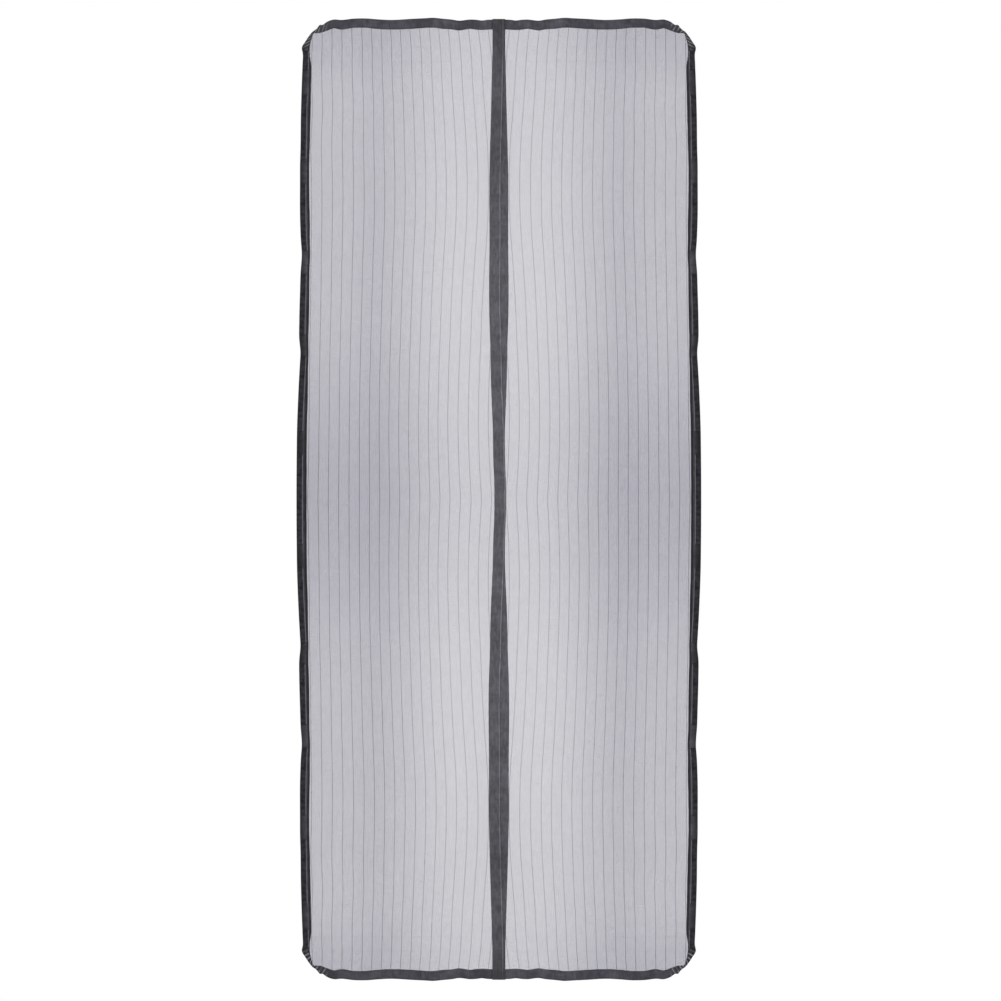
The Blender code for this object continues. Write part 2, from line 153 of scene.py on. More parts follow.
camera_data = bpy.data.cameras.new("long_lens")
camera_data.sensor_width = 36.0
camera_data.lens = camera_data.sensor_width * CAMERA_DISTANCE / VIEW_HEIGHT
camera_data.clip_end = 4 * CAMERA_DISTANCE
camera = bpy.data.objects.new("camera", camera_data)
camera.location = (VIEW_CENTRE[0], -CAMERA_DISTANCE, VIEW_CENTRE[1])
camera.rotation_euler = (math.radians(90), 0, 0)
bpy.context.collection.objects.link(camera)
bpy.context.scene.camera = camera
bpy.context.scene.view_settings.view_transform = "Standard"

world = bpy.data.worlds.new("studio")
bpy.context.scene.world = world
world.use_nodes = True
sky = world.node_tree
sky.nodes.clear()
rays = node(sky, "ShaderNodeLightPath").outputs
through = calc(sky, "ADD", rays["Is Camera Ray"], rays["Is Glossy Ray"])
seen = calc(sky, "ADD", through, rays["Is Transmission Ray"], clamp=True)
dim = node(sky, "ShaderNodeBackground", {"Color": (0.97, 0.98, 1.0, 1), "Strength": 0.55})
white = node(sky, "ShaderNodeBackground", {"Color": (1, 1, 1, 1), "Strength": 1.0})
choose = node(sky, "ShaderNodeMixShader", {"Fac": seen, 1: dim.outputs[0], 2: white.outputs[0]})
node(sky, "ShaderNodeOutputWorld", {"Surface": choose.outputs[0]})


def add_lamp(name, place, size, power):
    """A soft square lamp that looks at the middle of the screen."""
    data = bpy.data.lights.new(name, "AREA")
    data.shape = "SQUARE"
    data.size = size
    data.energy = power
    lamp = bpy.data.objects.new(name, data)
    lamp.location = place
    aim = Vector((0, 0, -HEADER_LINE)) - Vector(place)
    lamp.rotation_euler = aim.to_track_quat("-Z", "Y").to_euler()
    bpy.context.collection.objects.link(lamp)


add_lamp("key_lamp", (-2.0, -6.0, 2.4), 2.5, 184)
add_lamp("fill_lamp", (2.2, -6.0, 0.2), 3.0, 139)
add_lamp("back_lamp", (1.5, 5.0, 2.0), 3.0, 90)
print("Camera at", [round(c, 3) for c in camera.location], "with a lens of", round(camera_data.lens), "mm")

# %% [markdown]
# ## The floor
# The hem of a door screen ends a few centimetres above the floor. A plain pale disc stands there to
# catch a shadow in views from above. Its alpha fades out towards the rim, so that it has no edge.

# %% Make the floor
FLOOR_ROOM = 0.08
FLOOR_RADIUS = 2.1
FLOOR_PLAIN = 0.9

floor_mesh = bpy.data.meshes.new("floor")
bm = bmesh.new()
bmesh.ops.create_circle(bm, cap_ends=True, segments=96, radius=FLOOR_RADIUS)
bm.to_mesh(floor_mesh)
bm.free()
floor = bpy.data.objects.new("floor", floor_mesh)
floor.location = (0, 0, -SCREEN_HEIGHT - FLOOR_ROOM)
bpy.context.collection.objects.link(floor)
floor_paint, tree, shader = new_material("pale_floor")
shader.inputs["Base Color"].default_value = (0.86, 0.86, 0.86, 1)
shader.inputs["Roughness"].default_value = 0.8
spot = node(tree, "ShaderNodeTexCoord").outputs["Object"]
reach = node(tree, "ShaderNodeVectorMath", {0: spot}, operation="LENGTH").outputs["Value"]
tree.links.new(ramp(tree, reach, FLOOR_PLAIN, FLOOR_RADIUS, 1.0, 0.0), shader.inputs["Alpha"])
floor_mesh.materials.append(floor_paint)
print("The floor lies at", round(floor.location.z, 3), "m")

# %% [markdown]
# ## Weave
# Woven tape is warp yarns along it and weft yarns across, each going over and under the other. Seen as a
# height, that is one wave times another, with the sign changed from cell to cell. The group takes the
# cloth's own coordinates in metres, so the yarns turn with the tape round a corner.

# %% A group for plain weave
weave, start, end = new_group(
    "Plain Weave",
    [("Vector", VECTOR, None), ("Yarn", FLOAT, 0.0008)],
    [("Height", FLOAT), ("Gaps", FLOAT)],
)
place = node(weave, "ShaderNodeSeparateXYZ", {"Vector": start.outputs["Vector"]}).outputs
turns_x = calc(weave, "MULTIPLY", calc(weave, "DIVIDE", place["X"], start.outputs["Yarn"]), math.pi)
turns_y = calc(weave, "MULTIPLY", calc(weave, "DIVIDE", place["Y"], start.outputs["Yarn"]), math.pi)
wave_x, wave_y = calc(weave, "SINE", turns_x), calc(weave, "SINE", turns_y)
over = calc(weave, "MULTIPLY", wave_x, wave_y)
round_x = calc(weave, "POWER", calc(weave, "ABSOLUTE", wave_x), 0.5)
round_y = calc(weave, "POWER", calc(weave, "ABSOLUTE", wave_y), 0.5)
yarns = calc(weave, "MULTIPLY", round_x, round_y)
height = calc(weave, "ADD", calc(weave, "MULTIPLY", yarns, 0.7), calc(weave, "MULTIPLY", over, 0.3))
weave.links.new(height, end.inputs["Height"])
weave.links.new(ramp(weave, yarns, 0.0, 0.5, 1.0, 0.0), end.inputs["Gaps"])
print("Group", weave.name, "gives", [s.name for s in end.inputs if s.name])

# %% [markdown]
# ## Mottling
# Dyed yarn never comes out even: the tape shows short streaks along its warp, others along its weft, and
# broad soft patches. Three noises do it, two of them stretched, and Warp says how much the streaks along
# the warp count. Their sum stays close to a half, so a narrow ramp brings the contrast back.

# %% A group for uneven dye
STRETCH = 0.25

mottle, start, end = new_group(
    "Uneven Dye",
    [("Vector", VECTOR, None), ("Streak", FLOAT, 0.004), ("Patch", FLOAT, 0.03), ("Warp", FLOAT, 0.35)],
    [("Shade", FLOAT)],
)
place = node(mottle, "ShaderNodeSeparateXYZ", {"Vector": start.outputs["Vector"]}).outputs
squeezed = {axis: calc(mottle, "MULTIPLY", place[axis], STRETCH) for axis in "XY"}
warp_way = node(mottle, "ShaderNodeCombineXYZ", {"X": place["X"], "Y": squeezed["Y"]}).outputs[0]
weft_way = node(mottle, "ShaderNodeCombineXYZ", {"X": squeezed["X"], "Y": place["Y"]}).outputs[0]
total = 0.0
for label, vector, weight in (
    ("Streak", warp_way, start.outputs["Warp"]),
    ("Streak", weft_way, calc(mottle, "SUBTRACT", 0.7, start.outputs["Warp"])),
    ("Patch", start.outputs["Vector"], 0.3),
):
    scale = calc(mottle, "DIVIDE", 1.0, start.outputs[label])
    inputs = {"Vector": vector, "Scale": scale, "Detail": 3.0, "Roughness": 0.6}
    grain = node(mottle, "ShaderNodeTexNoise", inputs)
    total = calc(mottle, "MULTIPLY_ADD", grain.outputs["Fac"], weight, total)
mottle.links.new(ramp(mottle, total, 0.36, 0.64), end.inputs["Shade"])
print("Group", mottle.name, "is ready")

# %% [markdown]
# ## Net threads
# The net is knitted from thin yarn in little square openings of a bit over a millimetre. A mask of where
# the yarn is becomes the material's alpha, so that what lies behind shows through as it does in real
# net. Cover is the share of the area that yarn fills. Two crossing sets of bands of share f cover
# 1 - (1 - f) squared, so f comes from the cover by a square root.

# %% A group for the net
net_threads, start, end = new_group(
    "Net Threads",
    [("Vector", VECTOR, None), ("Opening", FLOAT, 0.0013), ("Cover", FLOAT, 0.5)],
    [("Mask", FLOAT), ("Height", FLOAT)],
)
place = node(net_threads, "ShaderNodeSeparateXYZ", {"Vector": start.outputs["Vector"]}).outputs
open_share = calc(net_threads, "SUBTRACT", 1.0, start.outputs["Cover"])
band = calc(net_threads, "SUBTRACT", 1.0, calc(net_threads, "SQRT", open_share))
sides = []
for axis in "XY":
    cell = calc(net_threads, "FRACT", calc(net_threads, "DIVIDE", place[axis], start.outputs["Opening"]))
    off = calc(net_threads, "ABSOLUTE", calc(net_threads, "SUBTRACT", cell, 0.5))
    sides.append(calc(net_threads, "SUBTRACT", band, calc(net_threads, "MULTIPLY", off, 2.0)))
inside = calc(net_threads, "MAXIMUM", *sides)
net_threads.links.new(ramp(net_threads, inside, -0.06, 0.06), end.inputs["Mask"])
net_threads.links.new(ramp(net_threads, inside, -0.05, 0.35), end.inputs["Height"])
print("Group", net_threads.name, "is ready")

# %% [markdown]
# ## The tape's finish
# The tape is dark polyester with a matte face. Its yarns stay light where they rise, and the gaps between
# them get painted shade. Painted shade and highlight also change across it: the outside tapes get painted
# shade at the fold, where the cloth turns away from the light, and the side tapes also along the open edge
# beside the strips, with a painted highlight in the middle; the centre tapes have a painted highlight, a pale
# line, along the fold. Other stops change the shade from the middle of the screen to the ends, where it is
# darkest. A map called Spread holds the share across the tape, 0 at the fold and 1 at the open edge, and how
# high each pucker stands; the tops of the puckers are painted lighter and their dips get painted shade. A
# colour ramp turns a share into a shade with a few stops, which is easier to read than a chain of sums.
#
# Where the tape is pinched into a corner, its spare cloth gathers in small slanting folds. A map called
# Pinch says how much, and a painted highlight runs along the top of each fold as pale slanting lines.

# %% Make the tape materials
YARN = 0.0009
GATHER_PITCH = 0.0088
GATHER_SLANT = 6.0
# The colour of the painted highlight on the gathered folds
GATHER_HIGHLIGHT = (0.210, 0.204, 0.218)


def cloth_coordinates(tree, name):
    """One of a piece's own maps, in metres or in shares."""
    return node(tree, "ShaderNodeUVMap", uv_map=name).outputs["UV"]


def map_parts(tree, name):
    """The same, as separate X and Y."""
    return node(tree, "ShaderNodeSeparateXYZ", {"Vector": cloth_coordinates(tree, name)}).outputs


def mix_colours(tree, share, first, second):
    """Two colours mixed by a share."""
    made = node(tree, "ShaderNodeMix", {"Factor": share}, data_type="RGBA")
    for name, value in (("A", first), ("B", second)):
        socket = next(s for s in made.inputs if s.name == name and s.type == "RGBA")
        if isinstance(value, bpy.types.NodeSocket):
            tree.links.new(value, socket)
        else:
            socket.default_value = (*value, 1)
    return next(s for s in made.outputs if s.type == "RGBA")


def shade_run(tree, value, stops, between="LINEAR"):
    """A shade read from (place, shade) stops."""
    made = node(tree, "ShaderNodeValToRGB", {"Fac": value})
    made.color_ramp.interpolation = between
    points = made.color_ramp.elements
    for point, (place, _) in zip(points, (stops[0], stops[-1])):
        point.position = place
    for place, _ in stops[1:-1]:
        points.new(place)
    for point, (_, shade) in zip(points, stops):
        point.color = (shade, shade, shade, 1)
    return made.outputs["Color"]


def scaled(tree, colour, shade):
    """A colour times a shade."""
    return node(tree, "ShaderNodeVectorMath", {0: colour, "Scale": shade}, operation="SCALE").outputs[0]


def towards_end(tree, way):
    """How far a point is from the screen's middle towards its end, from 0 to 1, along X or Z."""
    middle, half = {"X": (0.0, HALF_WIDTH), "Z": (-HEADER_LINE, HALF_HEIGHT)}[way]
    spot = node(tree, "ShaderNodeTexCoord").outputs["Object"]
    place = node(tree, "ShaderNodeSeparateXYZ", {"Vector": spot}).outputs[way]
    return calc(tree, "ABSOLUTE", calc(tree, "DIVIDE", calc(tree, "SUBTRACT", place, middle), half))


def gathers(tree, along, across):
    """Where the painted highlight along the tops of the gathered folds lies, from 0 to 1."""
    turn = calc(tree, "MULTIPLY", along, 2 * math.pi / GATHER_PITCH)
    crest = calc(tree, "SINE", calc(tree, "MULTIPLY_ADD", across, GATHER_SLANT, turn))
    return calc(tree, "MULTIPLY", map_parts(tree, "Pinch")["X"], ramp(tree, crest, 0.35, 1.0))


def tape_finish(name, dark, light, across, along, way="Z", deeper_shade=None, warp=0.35, pucker_shading=(0.70, 1.25)):
    """Woven tape between two colours, with painted shade and highlight. Across holds their stops from fold to
    open edge, and along the stops of shade from middle to end.
    """
    material, tree, shader = new_material(name)
    cloth, spread = cloth_coordinates(tree, "Cloth"), map_parts(tree, "Spread")
    woven = use_group(tree, weave, {"Vector": cloth, "Yarn": YARN})
    dye = use_group(tree, mottle, {"Vector": cloth, "Streak": 0.005, "Patch": 0.03, "Warp": warp})
    # The gaps between the yarns get painted shade, a darker copy of the tape's colour
    gap_shade = tuple(0.55 * c for c in dark)
    gaps = calc(tree, "MULTIPLY", woven["Gaps"], 0.5)
    shaded_colour = mix_colours(tree, gaps, mix_colours(tree, dye["Shade"], dark, light), gap_shade)
    outward = towards_end(tree, way)
    # Painted shade and highlight across the tape, and the shade along it, which is darkest at the ends
    shades = [shade_run(tree, spread["X"], across), shade_run(tree, outward, along)]
    if deeper_shade:
        depth = shade_run(tree, outward, DEEP_SHADE_ALONG)
        shades[0] = mix_colours(tree, depth, shades[0], shade_run(tree, spread["X"], deeper_shade))
    # Painted highlight on the tops of the puckers and painted shade in their dips
    shades.append(ramp(tree, spread["Y"], 0.0, 1.0, *pucker_shading))
    for shade in shades:
        shaded_colour = scaled(tree, shaded_colour, shade)
    # A painted highlight along the tops of the gathered folds
    crest = gathers(tree, map_parts(tree, "Cloth")["Y"], spread["X"])
    tree.links.new(mix_colours(tree, crest, shaded_colour, GATHER_HIGHLIGHT), shader.inputs["Base Color"])
    tree.links.new(ramp(tree, woven["Height"], 0.2, 1.0, 0.95, 0.75), shader.inputs["Roughness"])
    add_bump(tree, shader, woven["Height"], 0.6, 0.0003)
    shader.inputs["Specular IOR Level"].default_value = 0.25
    shader.inputs["Sheen Weight"].default_value = 0.10
    shader.inputs["Sheen Roughness"].default_value = 0.5
    return material


# Stops of painted shade and highlight across each tape, from the fold (0) to the open edge (1), and of the
# shade along it, from the middle (0) to the end (1)
HEADER_ACROSS = ((0.0, 0.70), (0.10, 0.90), (0.25, 1.0), (0.90, 1.0), (1.0, 0.85))
HEADER_ALONG = (
    (0.00, 1.08),
    (0.15, 1.05),
    (0.30, 1.12),
    (0.45, 0.97),
    (0.70, 0.97),
    (0.78, 0.82),
    (0.87, 0.76),
    (0.91, 0.60),
    (0.95, 0.50),
)
SIDE_ACROSS = (
    (0.00, 0.30),
    (0.10, 0.42),
    (0.18, 0.62),
    (0.40, 0.76),
    (0.52, 0.84),
    (0.65, 1.00),
    (0.74, 0.98),
    (0.80, 0.28),
    (1.00, 0.22),
)
# The same with deeper painted shade on the fold side, and how much it is used from the middle to the ends
DEEP_SHADE_ACROSS = (
    (0.00, 0.28),
    (0.14, 0.20),
    (0.25, 0.23),
    (0.36, 0.36),
    (0.47, 0.48),
    (0.58, 0.74),
    (0.69, 1.02),
    (0.76, 0.86),
    (0.81, 0.20),
    (1.00, 0.14),
)
DEEP_SHADE_ALONG = (
    (0.00, 1.0),
    (0.20, 1.0),
    (0.33, 0.9),
    (0.42, 0.2),
    (0.55, 0.1),
    (0.66, 0.6),
    (0.86, 0.6),
    (0.93, 0.8),
    (1.00, 0.8),
)
SIDE_ALONG = (
    (0.00, 0.72),
    (0.12, 0.68),
    (0.20, 0.72),
    (0.31, 0.72),
    (0.40, 0.84),
    (0.50, 0.90),
    (0.60, 0.84),
    (0.70, 0.78),
    (0.86, 0.76),
    (0.93, 0.76),
    (0.96, 0.60),
    (1.00, 0.50),
)
# The centre tape's pale line along its fold is a painted highlight
CENTRE_ACROSS = ((0.0, 1.95), (0.075, 1.90), (0.10, 0.92), (0.97, 0.98), (1.0, 0.9))
CENTRE_ALONG = (
    (0.00, 0.97),
    (0.45, 1.00),
    (0.58, 0.95),
    (0.66, 0.86),
    (0.75, 0.70),
    (0.83, 0.80),
    (0.92, 0.76),
    (0.965, 0.60),
    (0.985, 0.50),
    (1.00, 0.44),
)
charcoal_tape = tape_finish(
    "charcoal_tape", (0.040, 0.039, 0.0475), (0.066, 0.064, 0.078), HEADER_ACROSS, HEADER_ALONG, way="X"
)
# The side tapes are a copy of the same charcoal tape with their own painted shade and highlight
side_tape = tape_finish(
    "charcoal_tape_side_shade",
    (0.050, 0.0475, 0.058),
    (0.083, 0.079, 0.095),
    SIDE_ACROSS,
    SIDE_ALONG,
    deeper_shade=DEEP_SHADE_ACROSS,
)
grey_tape = tape_finish(
    "grey_centre_tape",
    (0.068, 0.067, 0.076),
    (0.114, 0.112, 0.127),
    CENTRE_ACROSS,
    CENTRE_ALONG,
    warp=0.55,
    pucker_shading=(0.86, 1.12),
)
print("Tape finishes:", ", ".join(m.name for m in (charcoal_tape, side_tape, grey_tape)))

# %% [markdown]
# ## Pile, thread and steel
# The fastener strips are black pile with a woven selvedge along the inner edge, painted paler, partly as a
# painted highlight along its ridge. Sewing thread is twisted, so a slanting wave runs round it, with painted
# shade in its grooves. The magnets are plated steel bars that stay out of sight in their pockets.

# %% Make the pile, thread and steel
SELVEDGE_START = 0.81
SELVEDGE_ROW = 0.90
SELVEDGE_YARN = 0.0006
LOOPS_A_METRE = 1400.0
TWIST_PITCH = 0.0005


def pile_finish():
    """Looped pile with a smooth selvedge along the inner edge."""
    material, tree, shader = new_material("black_pile")
    cloth, spread = cloth_coordinates(tree, "Cloth"), map_parts(tree, "Spread")["X"]
    loops = node(tree, "ShaderNodeTexVoronoi", {"Vector": cloth, "Scale": LOOPS_A_METRE, "Randomness": 0.9})
    dye = use_group(tree, mottle, {"Vector": cloth, "Streak": 0.008, "Patch": 0.02, "Warp": 0.15})["Shade"]
    tops = ramp(tree, loops.outputs["Distance"], 0.1, 0.6, 1.0, 0.0)
    loops_lit = calc(tree, "MULTIPLY", ramp(tree, tops, 0.0, 1.0, 0.35, 1.0), dye)
    pile = mix_colours(tree, loops_lit, (0.006, 0.0055, 0.008), (0.066, 0.064, 0.076))
    # The selvedge is paler, partly as a painted highlight along its ridge, and the gaps between its yarns get
    # painted shade
    selvedge = ramp(tree, spread, SELVEDGE_START - 0.02, SELVEDGE_START + 0.02)
    woven = use_group(tree, weave, {"Vector": cloth, "Yarn": SELVEDGE_YARN})
    edge = scaled(
        tree,
        mix_colours(tree, woven["Gaps"], (0.086, 0.083, 0.096), (0.050, 0.048, 0.057)),
        ramp(tree, dye, 0.0, 1.0, 0.75, 1.25),
    )
    tree.links.new(mix_colours(tree, selvedge, pile, edge), shader.inputs["Base Color"])
    tree.links.new(ramp(tree, tops, 0.0, 1.0, 0.98, 0.85), shader.inputs["Roughness"])
    add_bump(tree, shader, tops, 0.8, 0.0004)
    shader.inputs["Specular IOR Level"].default_value = 0.2
    return material


def thread_finish(name, dark, light):
    """Twisted sewing thread, with painted shade in the grooves of the twist."""
    material, tree, shader = new_material(name)
    place = map_parts(tree, "Cloth")
    slant = calc(tree, "MULTIPLY_ADD", place["Y"], 0.8, place["X"])
    twist = calc(tree, "SINE", calc(tree, "MULTIPLY", slant, 2 * math.pi / TWIST_PITCH))
    # The twist's grooves get painted shade and its strands are painted lighter
    share = ramp(tree, twist, -1.0, 1.0)
    tree.links.new(mix_colours(tree, share, dark, light), shader.inputs["Base Color"])
    tree.links.new(ramp(tree, share, 0.0, 1.0, 0.7, 0.45), shader.inputs["Roughness"])
    add_bump(tree, shader, share, 0.5, 0.0001)
    return material


def steel_finish():
    """Plated steel with fine scratches along it."""
    material, tree, shader = new_material("plated_steel")
    place = node(tree, "ShaderNodeTexCoord").outputs["Object"]
    long = node(tree, "ShaderNodeMapping", {"Vector": place, "Scale": (900.0, 900.0, 30.0)})
    lines = node(tree, "ShaderNodeTexNoise", {"Vector": long.outputs[0], "Scale": 1.0, "Detail": 4.0})
    share = ramp(tree, lines.outputs["Fac"], 0.35, 0.65)
    plating = mix_colours(tree, share, (0.20, 0.20, 0.21), (0.34, 0.34, 0.35))
    tree.links.new(plating, shader.inputs["Base Color"])
    tree.links.new(ramp(tree, share, 0.0, 1.0, 0.42, 0.25), shader.inputs["Roughness"])
    shader.inputs["Metallic"].default_value = 1.0
    return material


black_pile = pile_finish()
dark_thread = thread_finish("dark_thread", (0.022, 0.022, 0.026), (0.055, 0.055, 0.063))
grey_thread = thread_finish("grey_thread", (0.06, 0.06, 0.07), (0.13, 0.13, 0.145))
pale_thread = thread_finish("pale_thread", (0.16, 0.16, 0.18), (0.34, 0.34, 0.37))
plated_steel = steel_finish()
finishes = (black_pile, dark_thread, grey_thread, pale_thread, plated_steel)
print("Finishes:", ", ".join(finish.name for finish in finishes))

# %% [markdown]
# ## The net's finish
# Between its stripes the net is open. Each stripe is a few warp yarns set close together, so the cover
# rises there. The cloth is denser at the outer sides, most of all half way up and under the header, and
# it opens towards the middle. Three slow waves of height and width do that. The faint creases come from how
# the screen was folded in its bag, and more cover along them paints their shade as darker lines.

# %% Make the net material
STRIPE_PITCH = 0.0225
STRIPE_WIDTH = 0.0018
NET_OPENING = STRIPE_PITCH / 17
FINE_RIBS = 5
COVER_OUTSIDE = 0.565
# Share of the way in from the side, and the cover there
COVER_ACROSS = (
    (0.0, COVER_OUTSIDE),
    (0.20, 0.563),
    (0.36, 0.592),
    (0.47, 0.56),
    (0.59, 0.511),
    (0.78, 0.443),
    (1.0, 0.438),
)
LESS_AT_ENDS = 0.72
COVER_WAIST, WAIST_REACH = 0.11, 0.42
COVER_ENDS, ENDS_START = 0.09, 0.84
COVER_STRIPE = 0.20
COVER_RIB = 0.014
COVER_KNIT = 0.012
# How much cover the painted shade of a crease adds, and its width
CREASE_SHADE_COVER, CREASE_WIDTH = 0.03, 0.002
CREASES = (0.912, 0.942)


def net_finish():
    """See-through net with denser stripes."""
    material, tree, shader = new_material("striped_net")
    cloth, shares = cloth_coordinates(tree, "Cloth"), map_parts(tree, "Spread")
    # How far in from the side, and how far from the middle of the height, both from 0 to 1
    inward, upward = shares["X"], calc(tree, "ABSOLUTE", shares["Y"])
    fuller = calc(tree, "SUBTRACT", shade_run(tree, inward, COVER_ACROSS, "CARDINAL"), COVER_OUTSIDE)
    cover = calc(tree, "MULTIPLY", fuller, ramp(tree, upward, 0.45, 0.90, 1.0, LESS_AT_ENDS))
    cover = calc(tree, "ADD", cover, COVER_OUTSIDE)
    waist = ramp(tree, upward, 0.0, WAIST_REACH, COVER_WAIST, 0.0)
    ends = ramp(tree, upward, ENDS_START, 1.0, 0.0, COVER_ENDS)
    outward = calc(tree, "SUBTRACT", 1.0, calc(tree, "MULTIPLY", inward, 0.7))
    dense = calc(tree, "MULTIPLY", calc(tree, "ADD", waist, ends), outward)
    cover = calc(tree, "ADD", cover, dense)
    # Stripes at whole numbers of the pitch, and finer ribs between them
    pitches = calc(tree, "DIVIDE", map_parts(tree, "Cloth")["X"], STRIPE_PITCH)
    off = calc(tree, "ABSOLUTE", calc(tree, "SUBTRACT", pitches, calc(tree, "ROUND", pitches)))
    edge = STRIPE_WIDTH / STRIPE_PITCH / 2
    stripe = ramp(tree, off, edge * 0.4, edge * 1.6, 1.0, 0.0)
    cover = calc(tree, "ADD", cover, calc(tree, "MULTIPLY", stripe, COVER_STRIPE))
    ribs = calc(tree, "COSINE", calc(tree, "MULTIPLY", pitches, 2 * math.pi * FINE_RIBS))
    cover = calc(tree, "ADD", cover, calc(tree, "MULTIPLY", ribs, COVER_RIB))
    # Uneven knitting, and more cover along the creases as their painted shade
    inputs = {"Vector": cloth, "Scale": 60.0, "Detail": 4.0, "Roughness": 0.65}
    knit = node(tree, "ShaderNodeTexNoise", inputs).outputs["Fac"]
    cover = calc(tree, "ADD", cover, ramp(tree, knit, 0.3, 0.7, -COVER_KNIT, COVER_KNIT))
    for crease in CREASES:
        apart = calc(tree, "ABSOLUTE", calc(tree, "SUBTRACT", upward, crease))
        cover = calc(tree, "ADD", cover, ramp(tree, apart, 0.0, CREASE_WIDTH, CREASE_SHADE_COVER, 0.0))
    threads = use_group(tree, net_threads, {"Vector": cloth, "Opening": NET_OPENING, "Cover": cover})
    tree.links.new(threads["Mask"], shader.inputs["Alpha"])
    dye = use_group(tree, mottle, {"Vector": cloth, "Streak": 0.006, "Patch": 0.08})["Shade"]
    tone = mix_colours(tree, dye, (0.085, 0.078, 0.140), (0.115, 0.107, 0.178))
    tree.links.new(mix_colours(tree, stripe, tone, (0.070, 0.066, 0.110)), shader.inputs["Base Color"])
    tree.links.new(ramp(tree, threads["Height"], 0.0, 1.0, 0.85, 0.6), shader.inputs["Roughness"])
    add_bump(tree, shader, threads["Height"], 0.5, 0.0002)
    return material


striped_net = net_finish()
print("The net's openings are", round(NET_OPENING * 1000, 2), "mm apart")

# %% [markdown]
# ## Soft curves
# Cloth edges wander, so each is a short table of measured places with a smooth curve through them. The
# same helper serves the tapes' edges, the stripes' drift and the gap between the two halves.


# %% Curves through measured places
def soft_curve(points, places):
    """Values of the smooth curve through rows of (place, value, value ...) at many places."""
    table = np.array(points, float)
    at, values = table[:, 0], table[:, 1:]
    slopes = np.gradient(values, at, axis=0)
    places = np.clip(np.atleast_1d(places), at[0], at[-1])
    i = np.clip(np.searchsorted(at, places, side="right") - 1, 0, len(at) - 2)
    span = (at[i + 1] - at[i])[:, None]
    t = ((places - at[i]) / span[:, 0])[:, None]
    found = values[i] * (1 + 2 * t) * (1 - t) ** 2 + slopes[i] * span * t * (1 - t) ** 2
    return found + values[i + 1] * t * t * (3 - 2 * t) + slopes[i + 1] * span * t * t * (t - 1)


print("Half way between 0 and 1 the curve is at", float(soft_curve([(0, 0), (1, 1)], 0.5)[0, 0]))

# %% [markdown]
# ## Where the tape runs
# A bias-cut tape is folded over the net's edge and sewn down, and it puckers: it rises and dips by a few
# millimetres, narrows where it is pulled, and gathers at the chamfered corners. Each row below gives the
# place of its fold and how wide it shows.

# %% The run of the header and the corner
# Share of the half width, rise of the middle line, share of the tape's width
HEADER_SHAPE = (
    (0.000, -0.0005, 1.02),
    (0.060, -0.0017, 1.09),
    (0.086, -0.0026, 1.04),
    (0.111, -0.0017, 1.09),
    (0.141, -0.0005, 1.04),
    (0.206, -0.0032, 1.08),
    (0.232, -0.0012, 1.08),
    (0.282, 0.0005, 1.12),
    (0.332, 0.0029, 1.08),
    (0.372, 0.0021, 1.07),
    (0.438, 0.0004, 1.10),
    (0.544, -0.0015, 1.05),
    (0.614, -0.0001, 1.06),
    (0.664, 0.0019, 1.03),
    (0.730, 0.0018, 1.01),
    (0.795, -0.0016, 1.06),
    (0.830, 0.0001, 0.98),
)
# The fold's place in and down from the square corner, the tape's slant in degrees, its share of width
CORNER_OF_HEADER = (
    (0.0576, -0.0042, 2, 0.95),
    (0.0486, 0.0020, 5, 0.79),
    (0.0429, 0.0018, 1, 0.89),
    (0.0366, 0.0096, -6, 0.52),
    (0.0265, 0.0171, 52, 0.21),
)
CORNER_OF_SIDE = (
    (0.0197, 0.0256, 76, 0.35),
    (0.0114, 0.0381, 94, 0.62),
    (0.0040, 0.0505, 94, 0.87),
    (0.0058, 0.0656, 90, 0.76),
)


def corner_pair(inward, down, slant, share):
    """Fold and open edge at one place of the corner."""
    angle, width = math.radians(slant), TAPE_WIDTH * share
    fold = (HALF_WIDTH - inward, HEADER_LINE - down)
    return fold, (fold[0] - width * math.sin(angle), fold[1] - width * math.cos(angle))


header_run = []
for share, rise, width_share in HEADER_SHAPE:
    half = TAPE_WIDTH * width_share / 2
    header_run.append(
        ((share * HALF_WIDTH, HEADER_LINE + rise + half), (share * HALF_WIDTH, HEADER_LINE + rise - half))
    )
header_run += [corner_pair(*row) for row in CORNER_OF_HEADER]
print("The header's run has", len(header_run), "places from the middle to the corner")

# %% [markdown]
# ## Where the side tapes run
# A side starts in the corner, where the header ends, and goes down to the middle. The lower half mirrors it.
# It is pinched where a strip ends, and bows outward half way up.

# %% The run of a side
# Share of the half height, how far the fold stands outward, share of the tape's width
SIDE_SHAPE = (
    (0.905, -0.0051, 0.95),
    (0.870, -0.0037, 1.01),
    (0.800, -0.0016, 1.05),
    (0.726, -0.0006, 1.01),
    (0.701, 0.0002, 1.01),
    (0.661, 0.0004, 1.00),
    (0.581, 0.0001, 1.06),
    (0.536, -0.0018, 0.98),
    (0.514, -0.0035, 0.91),
    (0.471, -0.0009, 0.97),
    (0.431, 0.0004, 1.02),
    (0.371, 0.0020, 1.06),
    (0.336, 0.0021, 1.00),
    (0.306, -0.0006, 0.89),
    (0.281, 0.0007, 0.92),
    (0.252, 0.0024, 0.97),
    (0.202, 0.0048, 1.06),
    (0.152, 0.0067, 1.08),
    (0.092, 0.0076, 1.10),
    (0.000, 0.0081, 1.11),
)

side_run = [header_run[-1]] + [corner_pair(*row) for row in CORNER_OF_SIDE]
for share, outward, width_share in SIDE_SHAPE:
    x, h = HALF_WIDTH + outward, share * HALF_HEIGHT
    side_run.append(((x, h), (x - TAPE_WIDTH * width_share, h)))
print("The side's run has", len(side_run), "places from the corner to the middle")

